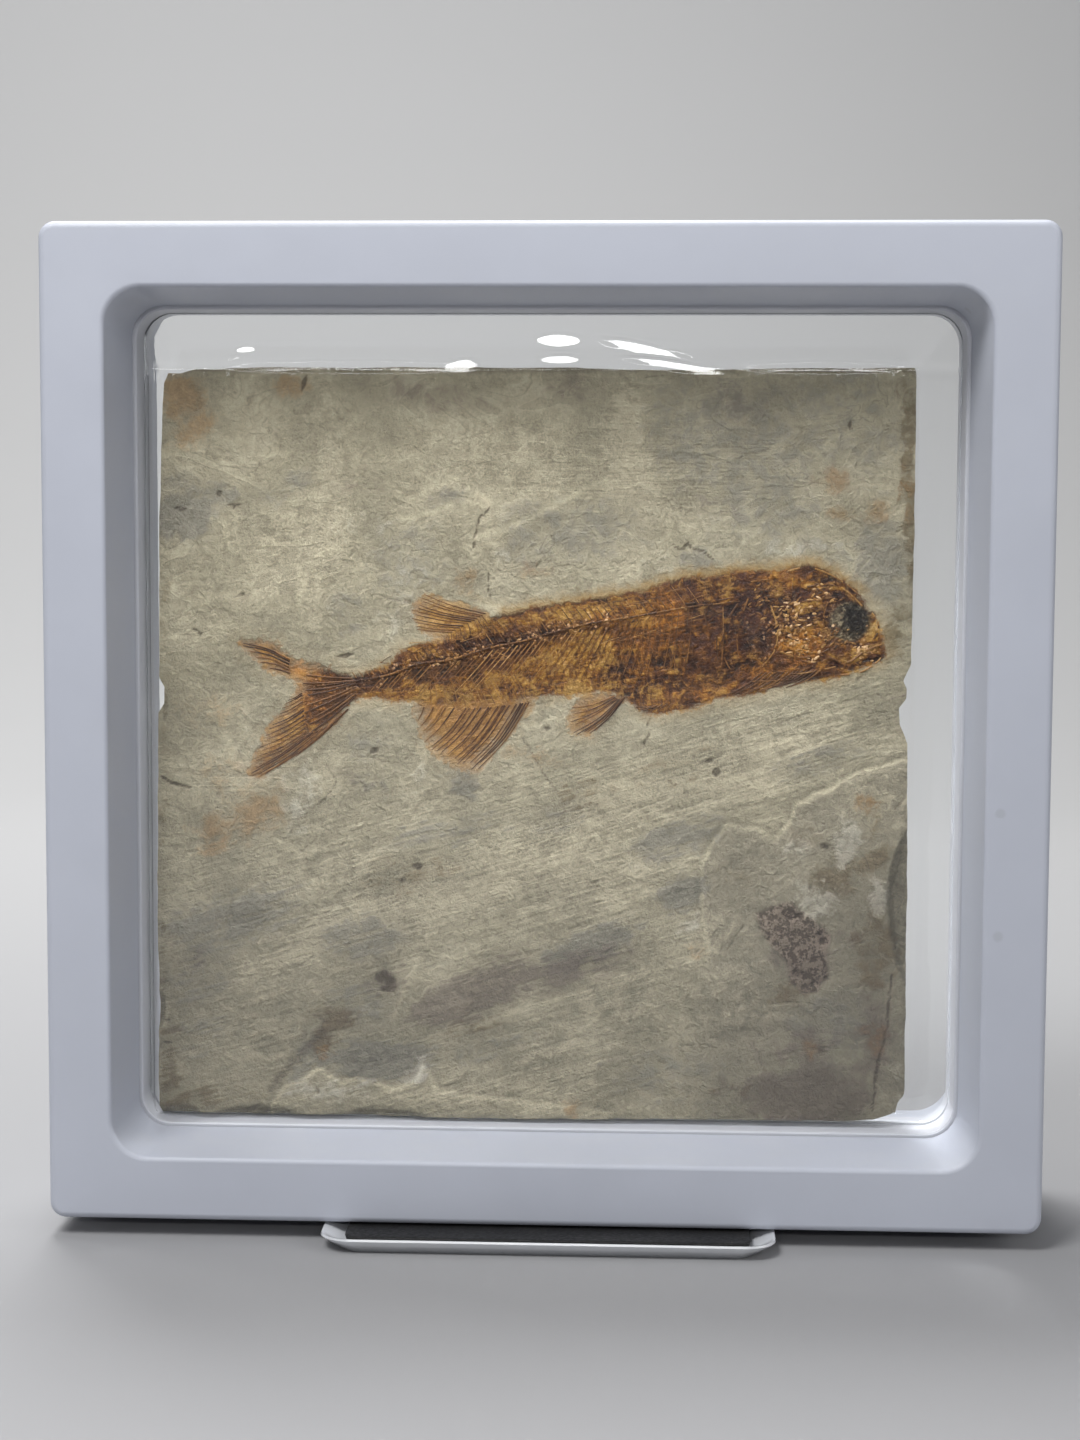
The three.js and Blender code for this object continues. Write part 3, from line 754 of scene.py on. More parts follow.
slab = {
    "face": 3.75,  # mm from the middle to the stone's front and back
    "columns": 300,
    "rows": 300,
    "skirtRows": 5,
    "seam": 0.6,  # where the front's skirt ends, inside the back's
    "low": -83.3,
    "high": 72.0,
    "leftmost": -81.6,
    "width": 156.2,
    "middle": (-3.4, -5.7),
    "bed": [
        (73.4, -7), (66, -9.6), (60.5, -12.6), (57, -14.4), (51.4, -16.4), (50, -20.4), (46, -23),
        (42.6, -21.6), (38, -21.2), (35, -24), (33, -29), (32.6, -37), (34, -48), (31, -62), (33, -86),
        (90, -86), (90, -7),
    ],
    "left": [
        (-83.3, -80.9), (-82, -81.6), (-60, -81.5), (-40, -81.6), (-14, -81.3), (1.5, -81.2), (3.5, -79.9),
        (7, -79.7), (9, -80.8), (40, -80.6), (66, -79.6), (70, -79.3), (71.8, -78.6),
    ],
    "right": [
        (-83.3, 72.8), (-81, 73.3), (-79.6, 74.5), (-38, 74.5), (-20, 74.2), (-5.5, 74), (-1.5, 72.3),
        (2, 72), (4, 73.4), (6, 73.6), (7.6, 72.9), (11, 74.4), (34, 74.6), (71, 74.6), (72, 74.2),
    ],
    "top": [
        (-79, 71.6), (-76, 72.4), (-62, 72.7), (-31, 72.8), (0, 72.8), (29, 72.3), (55, 72.8), (74.6, 72.8),
    ],
    "bottom": [
        (-81.6, -83), (-72, -82.8), (-60, -83.2), (-44, -82.9), (-32, -83.3), (-4, -83.2), (12, -83),
        (40, -82.8), (64, -82.6), (70, -82.2), (72.6, -81.4), (74.6, -80.6),
    ],
    "chip": [
        (75.5, -20.5), (73.4, -22), (71.7, -26), (70.4, -31), (70, -36), (70.8, -42), (72.4, -50),
        (75.5, -56),
    ],
    "scallops": [
        (-77, -83.6, 4.6, 2.6), (-60.5, -84, 10, 3), (-35, -84, 10.4, 2.8), (-82.4, -61, 2.4, 4.6),
    ],
    "crumbled": [
        (43, -39), (47, -37.5), (51, -36.4), (53, -39), (57, -41.4), (59, -44), (58, -48), (58.6, -52),
        (56.4, -55.6), (53, -56), (50.6, -53.4), (49.6, -49), (46.4, -45.4), (44, -42.4),
    ],
    "shelf": [
        (-58, -81), *shelfEdge, (-24.4, -73.6), (-23, -77), (-14, -78.6), (0, -79.6), (14, -81.5),
        (14, -88), (-58, -88),
    ],
}


def edgeWobble(along, seed):
    return 0.22 * roughNoise(along, along * 0 + 3.1, 5, seed, 4)


def slabPlace(u, v):  # from the unit square to mm, following the sawn and chipped edges
    low, high = slab["low"], slab["high"]
    fine = np.linspace(low, high, 600)
    weight = 1 + 0.95 * smoothStep(fine, -19, -12) * smoothStep(fine, 40, 32)  # closer rows on the fish
    total = np.concatenate([[0], np.cumsum((weight[1:] + weight[:-1]) / 2)])
    z0 = np.interp(v, total / total[-1], fine)
    x0 = slab["leftmost"] + slab["width"] * u
    left = np.interp(z0, *zip(*slab["left"])) + edgeWobble(z0, 301)
    right = np.interp(z0, *zip(*slab["right"])) + edgeWobble(z0, 305)
    top = np.interp(x0, *zip(*slab["top"])) + edgeWobble(x0, 309)
    bottom = np.interp(x0, *zip(*slab["bottom"])) + edgeWobble(x0, 313)
    x = left + (right - left) * u
    share = (z0 - low) / (high - low)
    return x, bottom + (top - bottom) * share


def ledges(x, z, degrees, along, across, seed, levels):  # flat flakes of bedding with steep little steps
    a, b = drawnOut(x, z, degrees, along, across)
    height = roughNoise(a, b, 1, seed, 4) * levels
    return (np.floor(height) + smoothStep(height % 1, 0.8, 1.0)) / levels


def flakeWarp(x, z):
    warpX = x + 1.5 * roughNoise(x, z, 6, 111, 4) + 0.5 * roughNoise(x, z, 1.3, 113, 2)
    warpZ = z + 1.2 * roughNoise(x, z, 6, 117, 4) + 0.5 * roughNoise(x, z, 1.3, 119, 2)
    return warpX, warpZ


def flakes(x, z, degrees, along, across, seed):  # nearest flake's centre, its own tone and its rim
    a, b = drawnOut(x, z, degrees, along, across)
    baseA, baseB = np.floor(a).astype(int), np.floor(b).astype(int)
    rng = np.random.default_rng(seed)
    jitter = rng.uniform(0.1, 0.9, (128, 128, 3))
    near, second = np.full_like(x, 9.0), np.full_like(x, 9.0)
    pickA, pickB, tone = np.zeros_like(x), np.zeros_like(x), np.zeros_like(x)
    for stepA in (-1, 0, 1):
        for stepB in (-1, 0, 1):
            cellA, cellB = baseA + stepA, baseB + stepB
            own = jitter[cellA % 128, cellB % 128]
            seedA, seedB = cellA + own[:, 0], cellB + own[:, 1]
            reach = np.hypot(a - seedA, b - seedB)
            closer = reach < near
            second = np.where(closer, near, np.minimum(second, reach))
            pickA, pickB = np.where(closer, seedA, pickA), np.where(closer, seedB, pickB)
            tone = np.where(closer, own[:, 2] * 2.5 - 1.25, tone)
            near = np.minimum(near, reach)
    c, s = math.cos(math.radians(degrees)), math.sin(math.radians(degrees))
    flakeX = pickA * along * c - pickB * across * s
    flakeZ = pickA * along * s + pickB * across * c
    return flakeX, flakeZ, tone, np.exp(-(((second - near) / 0.09) ** 2))


def bedWarp(x, z):
    return x + 1.4 * roughNoise(x, z, 7, 11, 3), z + 1.4 * roughNoise(x, z, 7, 17, 3)


def bedDistance(x, z):  # mm inside the edge of the bed at the lower right
    return insideDistance(*bedWarp(x, z), slab["bed"]) / (1 + 9 * smoothStep(z, -48, -62))


def fishDistances(x, z):
    warpX = x + 0.35 * roughNoise(x, z, 2.2, 41, 3)
    warpZ = z + 0.35 * roughNoise(x, z, 2.2, 47, 3)
    inside = {name: insideDistance(warpX, warpZ, outline) for name, outline in outlines.items()}
    inside["fins"] = np.maximum.reduce([inside[name] for name in ("tail", "dorsal", "anal", "pelvic")])
    return inside


def fishRelief(x, z, inside):
    body = smoothStep(inside["body"], -0.3, 1.6)
    relief = fish["bodyRelief"] * body * (0.75 + 0.25 * roughNoise(x, z, 5, 61, 3))
    relief = np.maximum(relief, fish["finRelief"] * smoothStep(inside["fins"], -0.2, 0.5))
    relief += 0.07 * np.exp(-((spineDistance(x, z) / 1.2) ** 2)) * body
    ex, ez, er = fish["eye"]
    eye = np.hypot(x - ex, z - ez)
    relief += 0.12 * smoothStep(eye, er, er * 0.4) - 0.10 * np.exp(-(((eye - er) / 0.5) ** 2))
    head = smoothStep(x, 36, 40) * body
    relief += head * 0.08 * roughNoise(x, z, 2.4, 71, 3)
    relief += head * 0.06 * ledges(x, z, 20, 5, 3, 79, 3)
    relief += body * 0.035 * roughNoise(x, z, 1.1, 83, 2)
    relief += 0.06 * spots(x, z, [(43, 17.6, 5, 6, -10, 1)], 0.2)  # gill cover
    relief -= 0.07 * strokes(x, z, [(0.6, 1, fish["gillEdge"])])
    return relief


def stoneRelief(x, z, inside):
    warpX, warpZ = bedWarp(x, z)
    clear = smoothStep(-inside["body"], -1, 3)
    relief = 0.07 * roughNoise(x, z, 30, 21, 3)
    relief += clear * 0.34 * ledges(warpX, warpZ, 12, 30, 15, 23, 5)
    lower = smoothStep(z - 0.3 * x, 6, -12)
    relief += clear * lower * 0.22 * ledges(x, z, 17, 26, 4.5, 29, 4)
    relief += clear * 0.06 * roughNoise(x, z, 2.4, 33, 3)
    relief += clear * 0.08 * flakes(*flakeWarp(x, z), 15, 8.5, 3.8, 171)[2]
    bed = bedDistance(x, z)
    relief += 0.14 * smoothStep(insideDistance(x, z, slab["shelf"]), -0.2, 0.3)
    relief += 0.24 * smoothStep(bed, -0.5, 0.4) - 0.05 * np.exp(-(((bed + 0.6) / 0.5) ** 2))
    chip = insideDistance(x, z, slab["chip"])
    relief -= 1.3 * smoothStep(chip, -0.15, 1.6)
    for cx, cz, rx, rz in slab["scallops"]:
        dent = np.hypot((x - cx) / rx, (z - cz) / rz)
        relief -= 0.9 * smoothStep(dent, 1.0, 0.55)
    relief -= 0.30 * spots(x, z, stoneMarks["pit"], 0.5)
    relief -= 0.16 * strokes(x, z, stoneStrokes["dark"])
    relief += 0.05 * strokes(x, z, stoneStrokes["light"])
    relief += 0.16 * spots(x, z, [(-76, 67, 3.6, 3.6, 0, 1)], 0.5)  # rusty nodule
    rough = smoothStep(insideDistance(warpX, warpZ, slab["crumbled"]), -0.3, 0.6)
    relief += rough * (0.22 * roughNoise(x, z, 1.5, 91, 3) - 0.16)
    border = np.minimum.reduce([x + 80.9, 74.3 - x, z + 83, 71.8 - z])
    relief -= 0.22 * smoothStep(border, 1.0, -0.2)
    return relief


def surfaceRelief(x, z):
    inside = fishDistances(x, z)
    return np.clip(stoneRelief(x, z, inside) + fishRelief(x, z, inside), -1.6, 0.55), inside


def surfaceLevel(x, z):  # y of the stone's front, in mm
    relief, _ = surfaceRelief(np.array([x], float), np.array([z], float))
    return -(slab["face"] + relief[0])


def sheetMesh(name, columns, rows, skirtRows, capped=True):  # a flat grid with a skirt behind it
    bm = bmesh.new()
    bmesh.ops.create_grid(bm, x_segments=columns, y_segments=rows, size=1)
    edges = [edge for edge in bm.edges if edge.is_boundary]
    for _ in range(skirtRows):
        grown = bmesh.ops.extrude_edge_only(bm, edges=edges)["geom"]
        moved = [item for item in grown if isinstance(item, bmesh.types.BMVert)]
        edges = [item for item in grown if isinstance(item, bmesh.types.BMEdge)]
        edges = [edge for edge in edges if edge.is_boundary]
        bmesh.ops.translate(bm, verts=moved, vec=(0, 0, -1))
    if capped:
        bmesh.ops.holes_fill(bm, edges=edges, sides=0)
    bmesh.ops.recalc_face_normals(bm, faces=bm.faces)
    mesh = bpy.data.meshes.new(name)
    bm.to_mesh(mesh)
    bm.free()
    return mesh


def readPoints(mesh):
    co = np.empty(len(mesh.vertices) * 3)
    mesh.vertices.foreach_get("co", co)
    return co.reshape(-1, 3)


def writePoints(mesh, x, y, z):  # mm from the frame's middle
    co = np.stack([x, y, z + centreZ], 1) * mm
    mesh.vertices.foreach_set("co", co.ravel())
    mesh.update()


def writeMarks(mesh, marks):
    for name, values in marks.items():
        writeMark(mesh, name, values)


def writeMark(mesh, name, values):
    layer = mesh.attributes.new(name, "FLOAT", "POINT")
    layer.data.foreach_set("value", np.asarray(values, np.float32))


def smoothFaces(mesh, sharpDegrees=None):
    mesh.polygons.foreach_set("use_smooth", np.ones(len(mesh.polygons), bool))
    if sharpDegrees:
        mesh.set_sharp_from_angle(angle=math.radians(sharpDegrees))


def stoneShares(x, z):  # how much of each tone and break shows
    marks = {}
    warpX, warpZ = flakeWarp(x, z)
    markX = warpX + 2.4 * roughNoise(x, z, 11, 191, 3)
    markZ = warpZ + 1.8 * roughNoise(x, z, 11, 193, 3)
    large = flakes(warpX, warpZ, 15, 8.5, 3.8, 171)
    small = flakes(warpX, warpZ, 14, 3.4, 1.7, 177)
    for name in ("slate", "purple", "tan", "rust", "olive", "pale"):
        whole = spots(markX, markZ, stoneMarks[name], 0.6)
        broken = spots(large[0], large[1], stoneMarks[name], 0.4)
        chipped = spots(small[0], small[1], stoneMarks[name], 0.4)
        marks[name] = 0.5 * whole + 0.2 * broken + 0.3 * chipped
    patchy = smoothStep(roughNoise(x, z, 14, 181, 3), -0.25, 0.35)
    marks["flake"] = 0.6 * large[2] + 0.4 * small[2] * patchy
    raised = large[3] * smoothStep(large[2], -0.2, 0.6)
    marks["flakeRim"] = np.maximum(raised, 0.6 * small[3] * patchy)
    nearX = x + 0.6 * roughNoise(x, z, 1.5, 121, 3)
    nearZ = z + 0.6 * roughNoise(x, z, 1.5, 123, 3)
    pits = spots(nearX, nearZ, stoneMarks["pit"], 0.5)
    marks["pit"] = np.maximum(pits, strokes(nearX, z, stoneStrokes["dark"]))
    scallop = np.zeros_like(x)
    for cx, cz, rx, rz in slab["scallops"]:
        dent = np.hypot((x - cx) / rx, (nearZ - cz) / rz)
        scallop = np.maximum(scallop, smoothStep(dent, 1.05, 0.9))
        rim = np.exp(-(((dent - 1.08) / 0.08) ** 2))
        scallop = np.where((dent > 1.05) & (scallop <= 0), scallop - rim, scallop)
    marks["scallop"] = scallop
    # overall stone tone with painted shade: darker towards the bottom, the lower right and the left middle,
    # lighter at the upper left, where the light falls off, and a painted shadow band along the top edge
    toneAndPaintedShade = 0.875 - 0.25 * smoothStep(z, -10, -70) - 0.12 * smoothStep(x, 25, 68) * smoothStep(z, -8, -40)
    toneAndPaintedShade += 0.04 * smoothStep(z, 15, 45) * smoothStep(x, 15, -30)
    toneAndPaintedShade -= 0.07 * smoothStep(x, -20, -60) * smoothStep(z, 25, 0)
    marks["toneAndPaintedShade"] = toneAndPaintedShade * (1 - 0.28 * smoothStep(z, 71.5, 72.2))
    ragged = insideDistance(nearX, nearZ, slab["crumbled"])
    marks["crumbled"] = smoothStep(ragged, -0.3, 0.5)
    marks["crumbledRim"] = np.exp(-(((ragged + 0.5) / 0.45) ** 2)) * smoothStep(x - z * 0.3, 60, 70)
    scratches = [(wide * 1.4, share, line) for wide, share, line in stoneStrokes["light"]]
    marks["scratch"] = strokes(x, z, scratches)
    bed = bedDistance(x, z)
    marks["bed"] = smoothStep(bed, -0.6, 0.8)
    shelf = insideDistance(x, z, slab["shelf"])
    marks["shelf"] = smoothStep(shelf, -0.2, 0.3) - 1.3 * np.exp(-(((shelf + 0.7) / 0.5) ** 2))
    # a pale line along the raised bed's and the shelf's edges, partly a fresh break and partly painted
    # highlight where the edge faces the light, with a darker band just outside the bed
    pale = np.exp(-((bed / 0.45) ** 2)) * smoothStep(z, -56, -34) + np.exp(-(((shelf - 0.2) / 0.35) ** 2))
    marks["bedEdgeBreakAndHighlight"] = pale - 0.6 * np.exp(-(((bed + 1.0) / 0.6) ** 2)) * smoothStep(z, -56, -34)
    marks["chip"] = smoothStep(insideDistance(x, z, slab["chip"]), -0.3, 0.3)
    lower = smoothStep(z - 0.3 * x, 8, -14) * smoothStep(bed, 1.0, -3.0)
    marks["scraped"] = np.maximum(lower, 0.35 * smoothStep(bed, -3, 1) * lower)
    marks["combed"] = spots(warpX, warpZ, stoneMarks["combed"], 0.5)
    marks["grainy"] = spots(warpX, warpZ, stoneMarks["grainy"], 0.5)
    return marks


def fishShares(x, z, inside):  # how much of each part and tone of the fish shows
    marks = {}
    fins = inside["fins"]
    marks["fishInside"] = np.clip(np.maximum(inside["body"], fins), -6, 6)
    thinner = np.where(inside["anal"] > fins - 0.01, 1.0, 0.66)
    marks["fin"] = thinner * smoothStep(fins, -1.5, 0.5) * smoothStep(inside["body"], 1.4, -0.6)
    near = x + 0.7 * roughNoise(x, z, 2.5, 131, 3), z + 0.7 * roughNoise(x, z, 2.5, 137, 3)
    dark = np.maximum(spots(*near, fishMarks["dark"], 0.5), strokes(*near, fishStrokes["dark"]))
    light = np.maximum(spots(*near, fishMarks["light"], 0.5), strokes(*near, fishStrokes["light"]))
    marks["fishTone"] = light - dark
    marks["fishOrange"] = spots(*near, fishMarks["orange"], 0.5)
    marks["fishGrey"] = spots(*near, fishMarks["grey"], 0.4)
    drop = spineLevel(x) - z
    within = smoothStep(inside["body"], 0, 0.8)
    ribs = smoothStep(drop, 0.2, 1.5) * smoothStep(x, -15, -8) * smoothStep(x, 34, 20) * within
    spines = smoothStep(-drop, 0.2, 1.2) * smoothStep(x, 34, 28) * within
    root = np.where(drop > 0, ribOrigin(x, z), x - 0.75 * drop)
    marks["ribCount"] = root / fish["ribPitch"]
    marks["ribShare"] = np.maximum(ribs, 0.6 * spines)
    ex, ez, er = fish["eye"]
    reach = np.hypot(x - ex, z - ez)
    crumb = np.exp(-((spineDistance(x, z) / 2.6) ** 2)) * smoothStep(x, 22, 8)
    marks["fishCrumb"] = np.maximum(crumb, 0.8 * spots(x, z, fishMarks["crumb"], 0.5))
    body = smoothStep(inside["body"], 0, 1) * smoothStep(reach, er, er * 1.15)
    onHead = smoothStep(x, 31, 39) * body
    plateX, plateZ = x + 0.6 * roughNoise(x, z, 2, 141, 3), z + 0.6 * roughNoise(x, z, 2, 143, 3)
    plates = flakes(plateX, plateZ, 28, 3.6, 2.4, 147)
    bitX, bitZ = x + 0.4 * roughNoise(x, z, 1.2, 151, 2), z + 0.4 * roughNoise(x, z, 1.2, 153, 2)
    bits = flakes(bitX, bitZ, 16, 1.9, 1.0, 149)
    marks["plate"] = onHead * (0.75 * plates[2] + 0.4 * bits[2]) + 0.35 * (body - onHead) * bits[2]
    marks["plateRim"] = onHead * plates[3]
    above = smoothStep(-drop, 0, 3) * smoothStep(x, -24, -12)
    marks["halo"] = np.maximum(above, 0.3) * smoothStep(fins, -0.5, -3) + 0.04
    marks["eye"] = smoothStep(reach, er * 1.02, er * 0.82)
    marks["pupil"] = spots(x, z, [(63, 21.9, 2.9, 3.3, 10, 1)], 0.35)
    return marks


def gather(tree, *terms):  # adds values, each with its own share
    total = None
    for value, share in terms:
        part = times(tree, value, share)
        total = part if total is None else plus(tree, total, part)
    return total


def swing(tree, value, low, high):  # -1 to 1 across the busy part of a noise
    return ease(tree, value, low, high, -1.0, 1.0)


stoneLook = {
    "base": ((149, 142, 121), (162, 154, 131), (173, 165, 142)),
    "tan": ((178, 169, 145), 0.75),
    "slate": ((120, 117, 108), 0.68),
    "purple": ((110, 99, 89), 0.75),
    "olive": ((104, 90, 66), 0.75),
    "rust": ((142, 106, 62), 0.55),
    "pale": ((184, 178, 162), 0.65),
    "bed": (138, 131, 114),
    "hollow": (84, 70, 56),
    "crumble": (88, 72, 62),
    "crumbs": (168, 150, 134),
    "grain": 0.21,  # share of the tone that comes and goes over one, three and twelve millimetres
    "medium": 0.07,
    "broad": 0.035,
    "flake": 0.075,
}


def splitBeds(tree, place, scrapeShare):  # thin beds, split off to different depths
    bent = put(tree, "VectorMath", {0: place, 1: (0.62, 1.0, 1.25)}, operation="MULTIPLY").outputs[0]
    layers = times(tree, noise(tree, bent, 0.085, 3.2, 0.5, 0.9), 7.0)
    step = calc(tree, "FLOOR", layers)
    within = calc(tree, "FRACT", layers)
    where = ease(tree, noise(tree, place, 0.07, 3, 0.5), 0.42, 0.56, 0.25, 1.0)
    where = times(tree, where, ease(tree, scrapeShare, 0, 1, 1.0, 0.4))
    # a painted shade line at each bed step and a painted highlight on the lip just past it
    seam = times(tree, ease(tree, within, 0.0, 0.10, 1.0, 0.0), where)
    away = calc(tree, "ABSOLUTE", calc(tree, "SUBTRACT", within, 0.2))
    paintedLipHighlight = times(tree, ease(tree, away, 0.0, 0.12, 1.0, 0.0), where)
    bedTone = times(tree, calc(tree, "SINE", times(tree, step, 2.4)), where)
    return step, seam, paintedLipHighlight, bedTone


def makeStoneMaterial(fishShown):
    material = newMaterial("shale" if fishShown else "shaleBack")
    tree, shader = material.tree, material.shader
    place = millimetres(tree)
    broad = noise(tree, place, 0.07, 4, 0.6)
    medium = noise(tree, place, 0.3, 4, 0.6, 0.4)
    grain = noise(tree, place, 0.95, 4, 0.75)
    fine = noise(tree, place, 2.4, 3, 0.7)
    broadSwing = swing(tree, broad, 0.34, 0.66)
    mediumSwing = swing(tree, medium, 0.33, 0.67)
    grainSwing = swing(tree, grain, 0.34, 0.66)
    fineSwing = swing(tree, fine, 0.3, 0.7)
    light, middle, dark = (srgb(*tone) for tone in reversed(stoneLook["base"]))
    tone = ramp(tree, broad, [(0.32, dark), (0.5, middle), (0.7, light)])
    bed = mark(tree, "bed")
    tone = tinted(tree, times(tree, bed, 0.62), tone, stoneLook["bed"])
    scraped = scrapes(tree, place, 17, 11.0, 0.75)
    broadScrape = scrapes(tree, place, 15, 30.0, 2.6)
    combed = scrapes(tree, place, -1.15, 7.0, 0.5)
    scrapeShare = mark(tree, "scraped")
    combShare = mark(tree, "combed")
    lines = times(tree, swing(tree, scraped, 0.36, 0.64), scrapeShare)
    wideLines = times(tree, swing(tree, broadScrape, 0.34, 0.66), scrapeShare)
    combLines = times(tree, swing(tree, combed, 0.36, 0.64), combShare)
    ragged = gather(
        tree, (mediumSwing, 0.24), (grainSwing, 0.12), (fineSwing, 0.07), (lines, 0.2), (wideLines, 0.16),
    )
    for name in ("tan", "slate", "purple", "olive", "rust", "pale"):
        colour, share = stoneLook[name]
        soft = 0.46 if name == "rust" else 0.32
        amount = ease(tree, plus(tree, mark(tree, name), ragged), 0.46 - soft, 0.46 + soft, 0.0, share)
        amount = times(tree, amount, ease(tree, mark(tree, name), 0.0, 0.12))
        tone = tinted(tree, amount, tone, colour)
    step, seam, paintedLipHighlight, bedTone = splitBeds(tree, place, scrapeShare)
    grainy = mark(tree, "grainy")
    busy = ease(tree, grainy, 0.0, 0.8, 0.66, 1.1)
    # the dark specks sit low and the light ones stand up; their tone is partly the stone's speckle and partly
    # painted shade in the hollows and painted highlight on the grains
    dots = noise(tree, place, 0.95, 2, 0.6)
    darkSpecksAndShade = times(tree, ease(tree, dots, 0.57, 0.68), plus(tree, times(tree, grainy, 0.9), 0.1))
    lightSpecksAndHighlight = times(tree, ease(tree, dots, 0.43, 0.33), plus(tree, times(tree, grainy, 0.7), 0.3))
    pit = ease(tree, plus(tree, mark(tree, "pit"), times(tree, fineSwing, 0.12)), 0.2, 0.75)
    tone = tinted(tree, times(tree, pit, 0.6), tone, stoneLook["hollow"])
    crumbled = mark(tree, "crumbled")
    broken = mixTone(
        tree, ease(tree, grain, 0.45, 0.57), srgb(*stoneLook["crumble"]), srgb(*stoneLook["crumbs"]),
    )
    tone = mixTone(tree, times(tree, crumbled, 0.75), tone, broken)
    chipped = times(tree, mark(tree, "flake"), calc(tree, "SUBTRACT", 1.0, times(tree, bed, 0.6)))
    level = gather(
        tree, (lines, 0.085), (wideLines, 0.035), (combLines, 0.09),
        (times(tree, grainSwing, busy), stoneLook["grain"]), (times(tree, fineSwing, busy), 0.12),
        (mediumSwing, stoneLook["medium"]), (broadSwing, stoneLook["broad"]),
        (lightSpecksAndHighlight, 0.15), (darkSpecksAndShade, -0.4), (mark(tree, "scratch"), 0.42), (mark(tree, "bedEdgeBreakAndHighlight"), 0.36),
        (chipped, stoneLook["flake"]), (mark(tree, "flakeRim"), 0.09), (pit, -0.3),
        (mark(tree, "chip"), -0.36), (mark(tree, "scallop"), -0.3), (mark(tree, "crumbledRim"), 0.2),
        (mark(tree, "shelf"), 0.12), (seam, -0.2), (paintedLipHighlight, 0.12), (bedTone, 0.06),
    )
    # the level times the stone's tone and its painted shade
    tone = shaded(tree, tone, times(tree, plus(tree, level, 1.0), mark(tree, "toneAndPaintedShade")))
    height = gather(
        tree, (grainSwing, 0.10), (mediumSwing, 0.2), (fineSwing, 0.04), (lines, 0.05), (wideLines, 0.06),
        (combLines, 0.05), (lightSpecksAndHighlight, 0.12), (darkSpecksAndShade, -0.2), (pit, -0.2), (chipped, 0.07),
        (times(tree, crumbled, grainSwing), 0.2), (seam, -0.10), (paintedLipHighlight, 0.04), (step, 0.09),
    )
    rough = 0.86
    if fishShown:
        tone, height, rough = addFishLook(tree, place, tone, height)
    link(tree, tone, shader.inputs["Base Color"])
    link(tree, rough, shader.inputs["Roughness"])
    shader.inputs["Specular IOR Level"].default_value = 0.35
    addBump(material, height, mm, 0.9)
    return material.block


fishLook = {
    "flesh": ((0.0, (22, 11, 6)), (0.18, (54, 28, 12)), (0.36, (90, 53, 17)), (0.52, (126, 83, 26)),
              (0.68, (158, 117, 48)), (0.84, (188, 149, 86)), (1.0, (214, 180, 132))),
    "ash": ((0.05, (28, 21, 18)), (0.45, (80, 64, 52)), (0.9, (156, 144, 120))),
    "iris": ((0.36, (28, 24, 18)), (0.5, (76, 68, 52)), (0.64, (142, 132, 106))),
    "pupil": ((0.38, (8, 7, 6)), (0.58, (32, 27, 22)), (0.7, (84, 76, 62))),
    "plum": (66, 38, 32),
    "olive": (142, 112, 58),
    "finGold": (150, 106, 48),
    "glow": (180, 116, 40),
    "halo": (152, 124, 78),
    "crumb": (196, 156, 116),
}


